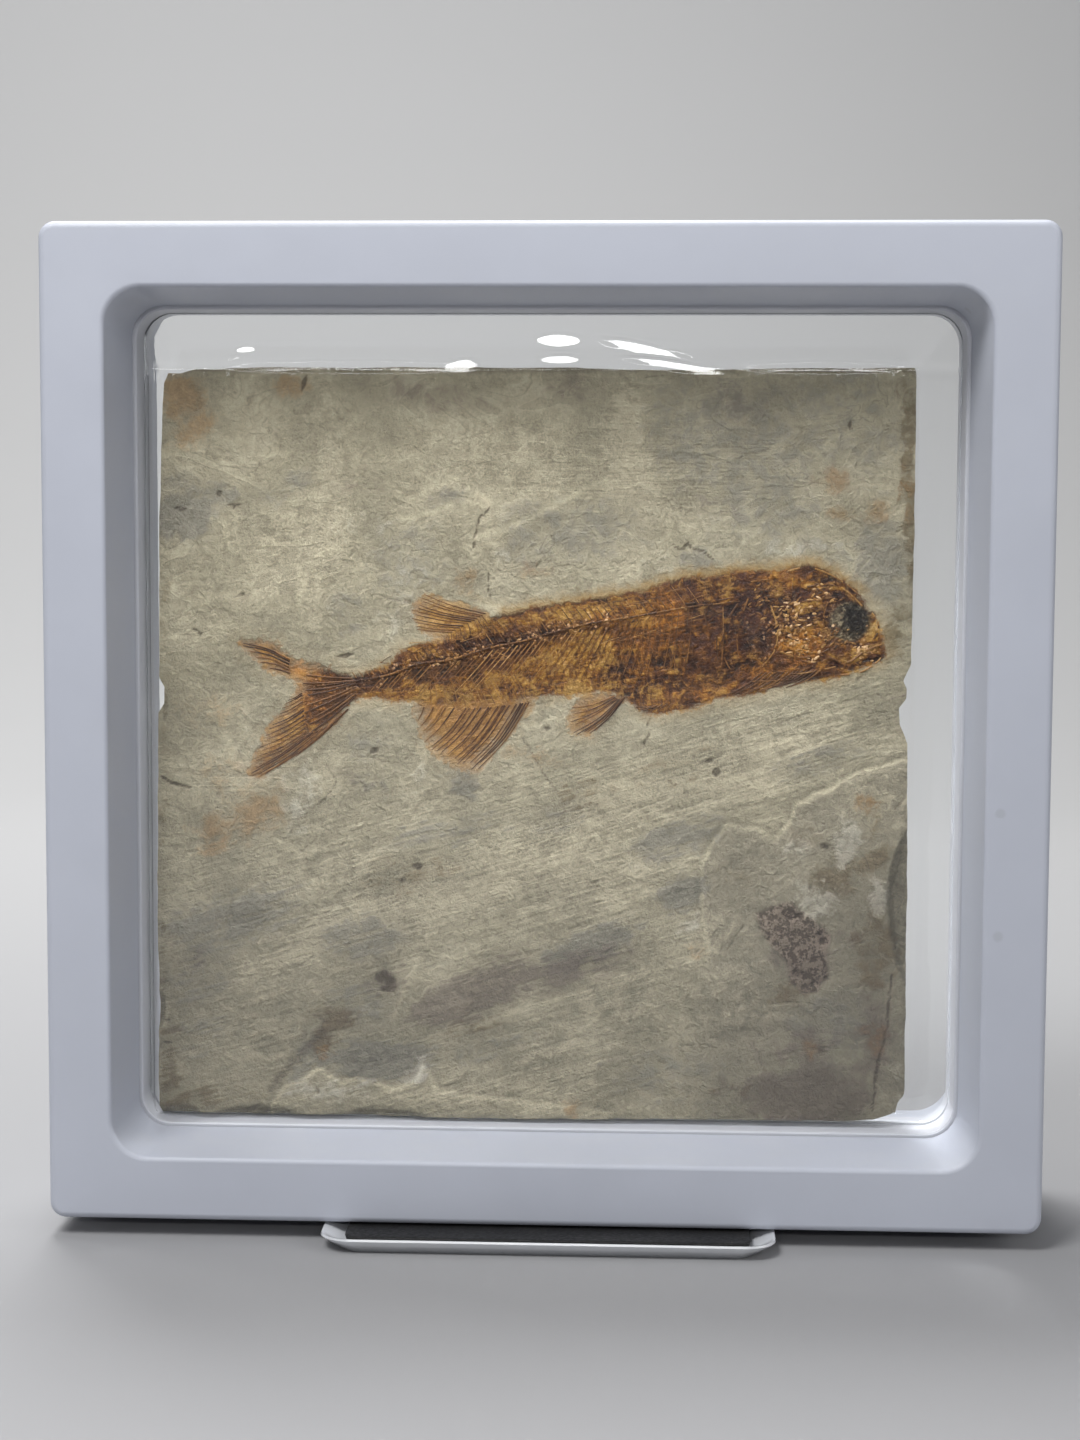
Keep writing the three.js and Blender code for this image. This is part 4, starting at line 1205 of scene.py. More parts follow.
def addFishLook(tree, place, stoneTone, stoneHeight):
    mottled = noise(tree, place, 0.42, 4, 0.62, 0.5)
    crumbs = noise(tree, place, 1.05, 3, 0.66, 0.35)
    sand = noise(tree, place, 2.3, 2, 0.6)
    mottleSwing = swing(tree, mottled, 0.33, 0.67)
    crumbSwing = swing(tree, crumbs, 0.36, 0.64)
    sandSwing = swing(tree, sand, 0.34, 0.66)
    frayed = gather(tree, (mottleSwing, 0.45), (crumbSwing, 0.2), (sandSwing, 0.08))
    depth = mark(tree, "fishInside")
    inside = plus(tree, depth, frayed)
    cover = ease(tree, inside, -0.45, 0.65)
    fin = mark(tree, "fin")
    streak = scrapes(tree, place, 12, 2.6, 0.5)
    streakSwing = swing(tree, streak, 0.36, 0.64)
    upright = scrapes(tree, place, 97, 2.4, 0.42)
    uprightSwing = swing(tree, upright, 0.36, 0.64)
    bent = plus(tree, mark(tree, "ribCount"), times(tree, mottleSwing, 0.16))
    wave = calc(tree, "COSINE", times(tree, bent, 2 * math.pi))
    ribs = times(tree, wave, mark(tree, "ribShare"))
    solid = ease(tree, fin, 0, 1, 1.0, 0.35)
    value = gather(
        tree, (mark(tree, "fishTone"), 0.55), (mottleSwing, 0.15), (times(tree, crumbSwing, solid), 0.08),
        (times(tree, sandSwing, solid), 0.035), (ribs, 0.06), (streakSwing, 0.07),
        (times(tree, uprightSwing, mark(tree, "ribShare")), 0.08), (fin, 0.07),
        (mark(tree, "plate"), 0.16), (mark(tree, "plateRim"), -0.14),
    )
    value = plus(tree, value, 0.415)
    flesh = toneRamp(tree, value, fishLook["flesh"])
    plum = ease(tree, mark(tree, "plate"), -0.1, -0.9, 0.0, 0.4)
    flesh = tinted(tree, plum, flesh, fishLook["plum"])
    blotch = noise(tree, place, 0.2, 3, 0.62, 0.8)
    reddish = times(tree, ease(tree, blotch, 0.5, 0.62, 0.0, 0.5), ease(tree, fin, 0.6, 0.0))
    flesh = tinted(tree, reddish, flesh, fishLook["plum"])
    greenish = times(tree, ease(tree, blotch, 0.5, 0.4, 0.0, 0.5), ease(tree, value, 0.25, 0.5))
    flesh = tinted(tree, greenish, flesh, fishLook["olive"])
    flesh = tinted(tree, times(tree, fin, 0.5), flesh, fishLook["finGold"])
    glow = times(tree, mark(tree, "fishOrange"), ease(tree, value, 0.2, 0.6, 0.2, 0.62))
    flesh = tinted(tree, glow, flesh, fishLook["glow"])
    ashen = toneRamp(tree, value, fishLook["ash"])
    flesh = mixTone(tree, times(tree, mark(tree, "fishGrey"), 0.55), flesh, ashen)
    iris = toneRamp(tree, crumbs, fishLook["iris"])
    flesh = mixTone(tree, times(tree, mark(tree, "eye"), 0.85), flesh, iris)
    black = toneRamp(tree, crumbs, fishLook["pupil"])
    flesh = mixTone(tree, times(tree, mark(tree, "pupil"), 0.95), flesh, black)
    thin = times(tree, fin, ease(tree, plus(tree, depth, mottleSwing), 4.2, 0.2, 0.08, 0.6))
    crumbed = times(tree, grains(tree, place, 0.85, 0.36), mark(tree, "fishCrumb"))
    lightCrumbs = times(tree, crumbed, ease(tree, mottled, 0.36, 0.5, 0.25, 0.9))
    flesh = tinted(tree, lightCrumbs, flesh, fishLook["crumb"])
    halo = times(tree, ease(tree, inside, -3.0, 0.3), times(tree, mark(tree, "halo"), 0.8))
    tone = tinted(tree, halo, stoneTone, fishLook["halo"])
    tone = mixTone(tree, times(tree, cover, calc(tree, "SUBTRACT", 1.0, thin)), tone, flesh)
    height = gather(
        tree, (times(tree, crumbSwing, solid), 0.11), (mottleSwing, 0.12), (sandSwing, 0.04), (ribs, 0.03),
        (streakSwing, 0.04), (lightCrumbs, 0.15), (mark(tree, "plate"), 0.06),
    )
    bumpMix = put(tree, "Mix", data_type="FLOAT")
    link(tree, cover, bumpMix.inputs[0])
    link(tree, stoneHeight, bumpMix.inputs[2])
    link(tree, height, bumpMix.inputs[3])
    rough = ease(tree, cover, 0, 1, 0.86, 0.45)
    return tone, bumpMix.outputs[0], rough


def makeSlab():
    mesh = sheetMesh("fossil_slab_face", slab["columns"], slab["rows"], slab["skirtRows"])
    co = readPoints(mesh)
    x, z = slabPlace((co[:, 0] + 1) / 2, (co[:, 1] + 1) / 2)
    relief, inside = surfaceRelief(x, z)
    depth = -co[:, 2]  # skirt row, 0 on the face
    y = -(slab["face"] + relief)
    y = np.where(depth > 0, y + (slab["seam"] - y) * (depth / slab["skirtRows"]) ** 1.2, y)
    layer = 0.3 * np.sin(depth * 2.4) + 0.25 * roughNoise(x + z, depth * 3, 3, 141, 3)
    push = np.where(depth > 0, layer, 0)
    middleX, middleZ = slab["middle"]
    onRim = 0.9999  # share of the grid's half size
    onSide = np.abs(co[:, 0]) > onRim
    onEnd = np.abs(co[:, 1]) > onRim
    x = x - np.where(onSide & (depth > 0), np.sign(x - middleX) * (0.15 - 0.2 * push), 0)
    z = z - np.where(onEnd & (depth > 0), np.sign(z - middleZ) * (0.15 - 0.2 * push), 0)
    writePoints(mesh, x, y, z)
    writeMarks(mesh, stoneShares(x, z))
    writeMarks(mesh, fishShares(x, z, inside))
    smoothFaces(mesh, 50)
    addPiece("fossil_slab_face", mesh, makeStoneMaterial(True), "shale", "fossil_slab")
    print("slab face:", len(mesh.polygons), "faces")

    mesh = sheetMesh("fossil_slab_back", 150, 150, 4)
    co = readPoints(mesh)
    x, z = slabPlace((co[:, 0] + 1) / 2, (co[:, 1] + 1) / 2)
    flipX = -x  # the back has marks of its own
    relief = 0.22 * ledges(flipX, z, -24, 34, 20, 151, 5) + 0.05 * roughNoise(x, z, 3, 157, 3)
    relief += 0.10 * roughNoise(x, z, 26, 163, 3)
    depth = -co[:, 2]
    y = slab["face"] - 0.25 + relief
    y = np.where(depth > 0, y + (0.75 - y) * (depth / 4) ** 1.1, y)
    inset = 0.35 + 0.2 * np.sin(depth * 2.1 + 1) + 0.15 * roughNoise(x + z, depth * 3, 4, 167, 3)
    x = x - np.where(np.abs(co[:, 0]) > onRim, np.sign(x - middleX) * inset, 0)
    z = z - np.where(np.abs(co[:, 1]) > onRim, np.sign(z - middleZ) * inset, 0)
    writePoints(mesh, x, y, z)
    mesh.flip_normals()
    writeMarks(mesh, stoneShares(flipX * 0.9 - 7, -z * 0.9 - 9))
    smoothFaces(mesh, 50)
    addPiece("fossil_slab_back", mesh, makeStoneMaterial(False), "shale")


bones = {
    "seed": 4,
    "sunk": 0.35,  # share of a bone's radius that it stands above the stone
    "tones": (
        (0.0, (44, 25, 12)), (0.22, (72, 43, 18)), (0.42, (104, 67, 26)), (0.6, (132, 93, 43)),
        (0.78, (164, 127, 70)), (1.0, (206, 172, 132)),
    ),
}


def boneLine(points, thick, thin, count=8):
    line = throughPoints(points, count)
    radii = np.linspace(thick, thin, len(line))
    return line, radii


def boneMesh(name, lines):
    curve = bpy.data.curves.new(name, "CURVE")
    curve.dimensions = "3D"
    curve.bevel_depth = mm
    curve.bevel_resolution = 1
    curve.use_fill_caps = True
    tones = []
    everyX = np.array([p[0] for line, _, _ in lines for p in line])
    everyZ = np.array([p[1] for line, _, _ in lines for p in line])
    levels = -(slab["face"] + surfaceRelief(everyX, everyZ)[0])
    cursor = 0
    for line, radii, tone in lines:
        spline = curve.splines.new("POLY")
        spline.points.add(len(line) - 1)
        for spot, (px, pz), radius in zip(spline.points, line, radii):
            spot.co = (*point(px, levels[cursor] - bones["sunk"] * radius, pz), 1)
            spot.radius = radius
            cursor += 1
        tones.append((len(line), tone))
    holder = bpy.data.objects.new(name + "Curve", curve)
    bpy.context.scene.collection.objects.link(holder)
    mesh = bpy.data.meshes.new_from_object(holder)
    bpy.data.objects.remove(holder)
    mesh.name = name
    perPoint = len(mesh.vertices) / max(len(everyX), 1)
    values = np.concatenate([np.full(int(round(count * perPoint)), tone) for count, tone in tones])
    values = np.resize(values, len(mesh.vertices))
    writeMark(mesh, "boneTone", values)
    smoothFaces(mesh)
    return mesh


def makeBoneMaterial():
    material = newMaterial("fossilBone")
    tree, shader = material.tree, material.shader
    place = millimetres(tree)
    mottle = calc(tree, "SUBTRACT", noise(tree, place, 1.6, 4, 0.7), 0.5)
    value = plus(tree, mark(tree, "boneTone"), times(tree, mottle, 0.9))
    tone = toneRamp(tree, value, bones["tones"])
    link(tree, tone, shader.inputs["Base Color"])
    shader.inputs["Roughness"].default_value = 0.45
    addBump(material, noise(tree, place, 4.0, 3, 0.6), 0.03 * mm)
    return material.block


def fan(bases, tips, count, seed, thick, thin, bow, tone, vary=0.15):  # rays between two lines
    rng = np.random.default_rng(seed)
    baseLine = throughPoints(bases, 40)
    tipLine = throughPoints(tips, 40)
    lines = []
    for index in range(count):
        t = (index + 0.5 + rng.uniform(-0.18, 0.18)) / count
        a = np.array(baseLine[min(int(t * 40), 40)])
        b = np.array(tipLine[min(int(t * 40), 40)])
        middle = (a + b) / 2 + bow * np.array([-(b - a)[1], (b - a)[0]])
        middle = middle + rng.uniform(-0.12, 0.12, 2)
        reach = rng.uniform(0.9, 1.02)
        tip = a + (b - a) * reach
        line, radii = boneLine([tuple(a), tuple(middle), tuple(tip)], thick * rng.uniform(0.8, 1.15), thin)
        lines.append((line, radii, tone + rng.uniform(-vary, vary)))
    return lines


finRays = {
    # base line, line of tips, count, seed, radius at the base and tip, bow, tone, spread of tones
    "tail": [
        ([(-53.4, 13), (-53.6, 11.4), (-53.4, 9.8)], [(-63.8, 16.6), (-61.6, 13.8), (-57.4, 10.6)],
         6, 201, 0.24, 0.1, -0.05, 0.3),
        ([(-51, 6), (-50.6, 2), (-50, -3)], [(-54, 4.4), (-58, -2), (-61.4, -9)],
         13, 203, 0.17, 0.07, 0.04, 0.3, 0.25),
        ([(-49.6, -2.6), (-45.5, -0.8), (-41, 3)], [(-61.6, -10.4), (-60, -11.6), (-52, -7.4)],
         9, 205, 0.24, 0.09, 0.03, 0.34),
        ([(-40.4, 9), (-39.6, 7.4), (-40, 5)], [(-50.4, 9.8), (-50.8, 3), (-49.6, -3)],
         9, 207, 0.2, 0.16, 0.02, 0.3),
    ],
    "dorsal": [
        ([(-12.8, 22.6), (-16, 20.8), (-20, 18.6)], [(-25.8, 26.6), (-28.2, 23), (-27.4, 19)],
         11, 211, 0.17, 0.07, 0.03, 0.28),
        ([(-12, 20.4), (-17, 18), (-21, 16.4)], [(-13.6, 22.4), (-17.4, 20), (-21, 18)],
         9, 213, 0.13, 0.1, 0, 0.35),
    ],
    "anal": [
        ([(-3.6, 4.4), (-9, 3.6), (-16, 3), (-26, 3.2)], [(-14.4, -10), (-18.6, -8.4), (-24, -6), (-27, 0.6)],
         20, 217, 0.19, 0.08, 0.05, 0.26, 0.16),
        ([(-7, 10.6), (-12, 9.6), (-18, 9), (-25, 8)], [(-4, 4.6), (-9, 3.8), (-16, 3.2), (-25, 3.2)],
         15, 219, 0.08, 0.1, 0, 0.5, 0.14),
    ],
    "pelvic": [
        ([(16, 5.6), (14.8, 5), (13.6, 5.8)], [(9.4, -2), (5.6, -2), (5, 3.6)],
         10, 223, 0.2, 0.08, 0.05, 0.26, 0.2),
        ([(20, 3.4), (23, 4), (26, 4.4)], [(18, 3.6), (20, 2.4), (24, 2.4)],
         6, 225, 0.16, 0.1, 0, 0.35),
    ],
}


def makeFins(material):
    for name, fans in finRays.items():
        rays = [ray for numbers in fans for ray in fan(*numbers)]
        addPiece(f"fin_rays_{name}", boneMesh(f"fin_rays_{name}", rays), material, "shale")


def leaning(x, z, length, steps):  # points along a bone that leans tailwards
    return [(x - across * length, z + up * length) for across, up in steps]


def makeRibs(material, rng):
    bellyX, bellyZ = zip(*sorted(p for p in throughPoints(fish["belly"], 120) if p[0] > -45))
    ribs = []
    pitch = fish["ribPitch"]
    for index in range(-9, 29):
        origin = index * pitch + rng.uniform(-0.15, 0.15)
        if origin > 18 and rng.random() < 0.5:
            continue
        top = float(spineLevel(origin)) - 0.7
        lean = float(ribLean(origin))
        floor = float(np.interp(origin - 6 * lean, bellyX, bellyZ)) + rng.uniform(1.0, 2.6)
        length = min(top - floor, 13) * rng.uniform(0.75, 1.0)
        steps = [
            (origin - lean * length * t + 0.25 * math.sin(2.4 * t), top - length * t)
            for t in (0, 0.3, 0.65, 1)
        ]
        thick = 0.15 if origin < 13 else 0.085
        line, radii = boneLine(steps, thick, 0.07, 9)
        ribs.append((line, radii, (0.66 if origin < 13 else 0.42) + rng.uniform(-0.2, 0.12)))
    for index in range(-27, -9):  # behind the body cavity
        origin = index * pitch + rng.uniform(-0.2, 0.2)
        top = float(spineLevel(origin)) - 0.6
        length = (top - float(np.interp(origin, bellyX, bellyZ))) * rng.uniform(0.55, 0.8)
        steps = leaning(origin, top, length, ((0, 0), (0.5, -0.55), (0.85, -1)))
        line, radii = boneLine(steps, 0.13, 0.07, 6)
        ribs.append((line, radii, 0.4 + rng.uniform(-0.25, 0.25)))
    addPiece("fish_ribs", boneMesh("fish_ribs", ribs), material, "shale")


def makeFineBones(material, rng):
    backX, backZ = zip(*[p for p in throughPoints(fish["back"], 120) if p[0] < 66])
    spines = []
    for index in range(-32, 25):
        origin = index * fish["ribPitch"] + rng.uniform(-0.2, 0.2)
        base = float(spineLevel(origin)) + 0.6
        length = max(float(np.interp(origin - 3, backX, backZ)) - base, 1.5) * rng.uniform(0.55, 0.85)
        steps = leaning(origin, base, length, ((0, 0), (0.4, 0.55), (0.75, 1)))
        line, radii = boneLine(steps, 0.12, 0.06, 6)
        spines.append((line, radii, 0.35 + rng.uniform(-0.25, 0.25)))
    for _ in range(70):  # fine bones among the muscles, lying along the body
        cx = rng.uniform(-34, 32)
        cz = float(spineLevel(cx)) + rng.choice([-1, 1]) * rng.uniform(1.2, 4.5)
        turn = math.radians(rng.normal(14, 16))
        half = rng.uniform(0.8, 2.0)
        dx, dz = half * math.cos(turn), half * math.sin(turn)
        ends = [(cx - dx, cz - dz), (cx, cz + rng.uniform(-0.15, 0.15)), (cx + dx, cz + dz)]
        line, radii = boneLine(ends, 0.09, 0.06, 4)
        spines.append((line, radii, rng.uniform(0.1, 0.75)))
    addPiece("fish_fine_bones", boneMesh("fish_fine_bones", spines), material, "shale")


def makeVertebrae(material, rng):
    column = []
    pitch = fish["vertebraPitch"]
    half = pitch * 0.46
    x = -47.0
    while x < 40:
        across = [x + half * share for share in (-1, -0.4, 0.4, 1)]
        line = [(place, float(spineLevel(place))) for place in across]
        size = np.interp(x, [-47, -20, 30, 40], [0.4, 0.52, 0.36, 0.2]) * rng.uniform(0.7, 1.1)
        tone = np.interp(x, [-47, 0, 20, 40], [0.28, 0.32, 0.34, 0.3]) + rng.uniform(-0.22, 0.3)
        column.append((line, np.array([size, size * 0.6, size * 0.6, size]) * 0.8, float(tone)))
        x += pitch
    addPiece("fish_vertebrae", boneMesh("fish_vertebrae", column), material, "shale")


skull = {
    "seed": 12,
    "bones": [
        # radius at the start and end, tone, points
        (0.34, 0.2, 0.85, [(53, 28.4), (57, 29), (61, 27.6), (64.6, 24.2)]),
        (0.3, 0.18, 0.35, [(49, 31.6), (53, 32.4), (57.5, 31), (61.5, 28.6), (64.8, 25.6)]),
        (0.42, 0.2, 0.8, [(57.4, 14), (61.4, 13), (65, 15.4), (68.4, 16.8)]),
        (0.32, 0.2, 0.55, [(60, 10.4), (64, 11), (66.8, 12.6), (68.2, 14)]),
        (0.3, 0.2, 0.9, [(66.2, 23.2), (67.4, 21.4), (67.6, 19.4), (66.6, 17.8)]),
        (0.26, 0.16, 0.3, [(39, 25), (36.8, 21.5), (36, 17.5), (36.4, 13.5), (38.2, 10.4)]),
        (0.24, 0.14, 0.25, [(41, 26), (39.6, 22), (38.8, 18), (39.2, 13.6)]),
        (0.24, 0.16, 0.35, [(45.6, 24.6), (47, 20), (46.6, 15.6), (44, 12)]),
        (0.3, 0.16, 0.75, [(47.5, 15.2), (51, 14), (55, 14.4), (58.6, 16.4)]),
        (0.24, 0.16, 0.5, [(48, 26), (52, 25.4), (56, 26), (59, 26.4)]),
        (0.22, 0.14, 0.7, [(48.6, 18.4), (51.4, 17.4), (54.4, 18)]),
        (0.26, 0.16, 0.3, [(46, 11.2), (51, 10.6), (56, 11.4), (60, 12.4)]),
        (0.2, 0.14, 0.5, [(42, 9), (48, 9.2), (54, 9.8), (59, 10.4)]),
        (0.22, 0.14, 0.7, [(37.6, 19.4), (35.8, 17.4), (35.2, 15.4)]),
        (0.2, 0.12, 0.8, [(40.6, 14.8), (42.6, 14), (44.6, 12.6)]),
        (0.24, 0.16, 0.35, [(28, 24.8), (31.4, 25.2), (35, 25.6), (39, 26.4)]),
        (0.2, 0.12, 0.6, [(50.4, 30.6), (50, 28), (51, 25.4)]),
        (0.2, 0.14, 0.25, [(41.4, 29.4), (45, 29.8), (49, 29)]),
        (0.22, 0.12, 0.4, [(57.2, 25.4), (56.4, 22.4), (56.8, 19.2), (58.4, 17)]),
    ],
    "chips": 420,
    "chipAreas": [
        # x, z, spread x, spread z, share, tone
        (50, 21, 5, 4.6, 0.34, 0.55), (44, 26, 4, 2.6, 0.14, 0.3), (56, 28, 4.4, 2, 0.1, 0.5),
        (58, 18, 2.6, 2.2, 0.08, 0.5), (52, 16, 4, 2, 0.1, 0.75), (64, 15, 3, 1.6, 0.06, 0.7),
        (10, 20, 14, 1.4, 0.08, 0.5), (-20, 13, 12, 1.6, 0.1, 0.4),
    ],
}


def makeSkull(material):
    rng = np.random.default_rng(skull["seed"])
    lines = []
    for thick, thin, tone, points in skull["bones"]:
        line, radii = boneLine(points, thick, thin, 18)
        cuts = [0, int(rng.integers(5, 8)), int(rng.integers(11, 14)), len(line)]
        for first, last in zip(cuts, cuts[1:]):  # broken bones, each part with its own tone
            kept = slice(first, last - int(rng.integers(0, 3)))
            lines.append((line[kept], radii[kept] * 0.8, tone * rng.uniform(0.4, 1.05)))
    for index in range(14):  # branchiostegal rays under the gill cover
        t = index / 13
        start = (56 - 12 * t, 11.4 - 0.6 * t)
        end = (50 - 13 * t, 8.2 - 2.2 * t + rng.uniform(-0.3, 0.3))
        middle = ((start[0] + end[0]) / 2, (start[1] + end[1]) / 2 - 0.5)
        line, radii = boneLine([start, middle, end], 0.16, 0.1, 6)
        lines.append((line, radii, rng.uniform(0.2, 0.6)))
    for _ in range(12):  # shoulder bones behind the gill cover
        x, z, half = rng.uniform(26, 37), rng.uniform(10, 22), rng.uniform(1, 2.6)
        lean = rng.uniform(-0.3, 0.6)
        line, radii = boneLine([(x + lean, z + half), (x, z), (x - lean, z - half)], 0.13, 0.08, 5)
        lines.append((line, radii, rng.uniform(0.1, 0.55)))
    addPiece("fish_skull_bones", boneMesh("fish_skull_bones", lines), material, "shale")
    makeChips(material, rng)


def makeChips(material, rng):  # crumbs of bone on the head and along the spine
    bm = bmesh.new()
    tones = []
    total = sum(area[4] for area in skull["chipAreas"])
    for cx, cz, sx, sz, share, tone in skull["chipAreas"]:
        for _ in range(int(skull["chips"] * share / total)):
            x, z = rng.normal(cx, sx * 0.6), rng.normal(cz, sz * 0.6)
            x = min(x, 67)
            if cx < 30:
                z += float(spineLevel(x)) - cz
            inside = insideDistance(np.array([x]), np.array([z]), outlines["body"])[0]
            if inside < 0.8:
                continue
            length, width = rng.uniform(0.3, 0.85), rng.uniform(0.14, 0.34)
            made = bmesh.ops.create_icosphere(bm, subdivisions=1, radius=1)["verts"]
            bmesh.ops.scale(bm, verts=made, vec=(length * mm, 0.13 * mm, width * mm))
            bmesh.ops.rotate(bm, verts=made, matrix=Matrix.Rotation(rng.uniform(-1.2, 0.6), 3, "Y"))
            bmesh.ops.translate(bm, verts=made, vec=point(x, surfaceLevel(x, z), z))
            tones += [min(1.0, max(0.0, tone + rng.normal(0, 0.25)))] * len(made)
    mesh = bpy.data.meshes.new("fish_bone_chips")
    bm.to_mesh(mesh)
    bm.free()
    writeMark(mesh, "boneTone", tones)
    smoothFaces(mesh)
    addPiece("fish_bone_chips", mesh, material, "shale")


film = {
    "columns": 280,
    "rows": 160,
    "half": 86.4,
    "corner": 7.4,
    "slabLevel": 4.55,  # mm in front of the middle, where the film lies on the stone
    "rimLevel": 0.33,
    "thickness": 0.12,
    "edges": (-82.1, 75.1, -83.7, 72.4),  # left, right, bottom, top of the fold round the stone
    "window": 84.1,
    "ior": 1.42,
    "flats": [  # x, z, half width, half height, turn, tilt in degrees
        (1.8, 78.4, 5.0, 1.6, 0, 6.0), (2.2, 74.4, 4.4, 1.1, 0, 6.2), (19.6, 76.4, 8.4, 1.4, -14, 6.1),
        (26.0, 73.2, 9.6, 1.0, -9, 6.3), (-62.5, 76.4, 2.6, 0.9, 5, 6.1), (-65, 74.4, 1.6, 0.8, 20, 6.2),
        (-62, 73.6, 2.2, 0.6, 0, 6.2), (69.5, 73.6, 2.2, 0.6, 30, 6.2), (-22.6, 73.2, 3.4, 0.6, 8, 6.3),
        (-40, 73.0, 23.5, 1.2, 0, 6.35), (-18, 73.2, 3.4, 1.4, 10, 6.35), (56, 73.0, 15.0, 1.1, 0, 6.35),
    ],
}


def makeFilmMaterial():
    material = newMaterial("clearFilm")
    tree, shader = material.tree, material.shader
    place = millimetres(tree)
    shader.inputs["Base Color"].default_value = (0.985, 0.99, 0.99, 1)
    shader.inputs["Roughness"].default_value = 0.0
    shader.inputs["IOR"].default_value = film["ior"]
    shader.inputs["Transmission Weight"].default_value = 1.0
    fold = scrapes(tree, place, 90, 9.0, 1.3)
    slack = noise(tree, place, 0.12, 2, 0.4)
    pleats = scrapes(tree, place, 90, 18.0, 0.95)
    folded = times(tree, fold, mark(tree, "crinkle"))
    pleated = times(tree, pleats, mark(tree, "pleated"))
    height = gather(tree, (folded, 0.05), (pleated, 0.13), (slack, 0.02))
    addBump(material, height, mm)
    clear = put(tree, "BsdfTransparent", {"Color": (0.96, 0.965, 0.97, 1)})
    path = put(tree, "LightPath")
    blend = put(
        tree, "MixShader", {0: path.outputs["Is Shadow Ray"], 1: shader.outputs[0], 2: clear.outputs[0]},
    )
    tree.links.new(blend.outputs[0], material.output.inputs["Surface"])
    return material.block


def filmPlaces(co):  # the rows lie closer together at the top, and the corners are round
    half, corner = film["half"], film["corner"]
    fine = np.linspace(-half, half, 800)
    total = np.cumsum(1 + 5.0 * smoothStep(fine, 69, 70.5) * smoothStep(fine, 82, 79))
    total = (total - total[0]) / (total[-1] - total[0])
    x, z = co[:, 0] * half, np.interp((co[:, 1] + 1) / 2, total, fine)
    overX = np.maximum(np.abs(x) - (half - corner), 0)
    overZ = np.maximum(np.abs(z) - (half - corner), 0)
    squeeze = np.maximum(overX, overZ) / np.maximum(np.hypot(overX, overZ), 1e-6)
    squeeze = np.where((overX > 0) & (overZ > 0), squeeze, 1)
    x = np.sign(x) * (np.abs(x) - overX + overX * squeeze)
    return x, np.sign(z) * (np.abs(z) - overZ + overZ * squeeze)


def filmSlope(x, z):  # 0 over the stone, 1 at the window's rim
    left, right, bottom, top = film["edges"]
    window = film["window"]
    away = np.maximum.reduce([
        (left - x) / (window + left), (x - right) / (window - right),
        (bottom - z) / (window + bottom), (z - top) / (window - top),
    ])
    soft = 0.02  # how softly the film bends over the stone's edges
    rounded = 0.5 * (away + np.sqrt(away**2 + soft))
    rounded = np.clip(rounded - 0.5 * math.sqrt(soft) * np.exp(-np.clip(away, 0, 9) * 4), 0, 1)
    return np.where(away < 0, rounded * np.exp(np.minimum(away, 0) * 8), rounded)


def flattened(level, x, z):  # the film lies flatter in a few places
    for cx, cz, rx, rz, degrees, tilt in film["flats"]:
        a, b = drawnOut(x - cx, z - cz, degrees, rx, rz)
        near = smoothStep(np.hypot(a, b), 1.4, 0.9)
        centre = int(np.argmin((x - cx) ** 2 + (z - cz) ** 2))
        flat = level[centre] - math.tan(math.radians(tilt)) * (z - cz)
        level = level + (flat - level) * near
    return level


def makeFilm(side, material):
    name = "film_front" if side > 0 else "film_back"
    mesh = sheetMesh(name + "_sheet", film["columns"], film["rows"], 0, False)
    x, z = filmPlaces(readPoints(mesh))
    left, right, bottom, top = film["edges"]
    slope = filmSlope(x, z)
    level = film["slabLevel"] + (film["rimLevel"] - film["slabLevel"]) * slope
    margin = slope * (1 - slope) * 4
    nearTop = np.exp(-np.abs(z - top) / 3.0) * smoothStep(np.abs(x), 84, 70)
    nearBottom = np.exp(-np.abs(z - bottom) / 1.6)
    nearSide = np.exp(-np.abs(x - right) / 2.5) + np.exp(-np.abs(x - left) / 1.5)
    seed = 401 if side > 0 else 421
    pleats = roughNoise(x, z * 0.12, 3.4, seed, 3)
    ripple = 0.06 * pleats * margin * (z > top - 1)
    ripple += 0.05 * roughNoise(x, z * 0.2, 2.0, seed + 5, 2) * nearTop * (slope > 0)
    level = level + ripple - 0.08 * margin + 0.012 * roughNoise(x, z, 24, seed + 9, 2)
    if side > 0:
        level = flattened(level, x, z)
    writePoints(mesh, x, -side * level, z)
    beside = np.maximum(smoothStep(x, -20, -24), smoothStep(x, 36, 40))
    pleated = np.exp(-(((z - top) / 1.4) ** 2)) * beside
    crinkle = np.clip(nearTop + 0.6 * nearBottom + 0.35 * nearSide + 0.15 * margin, 0, 1.2)
    writeMarks(mesh, {"pleated": pleated, "crinkle": crinkle})
    smoothFaces(mesh)
    if side < 0:
        mesh.flip_normals()
    piece = addPiece(name + "_sheet", mesh, material, "clear_film", name)
    wall = piece.modifiers.new("thickness", "SOLIDIFY")
    wall.thickness = film["thickness"] * mm
    wall.offset = 0
    return piece


plastic = {
    "frameTone": (183, 187, 198),
    "ringTone": (196, 198, 205),
    "trayTone": (214, 216, 220),
    "matTone": (12, 12, 13),
}


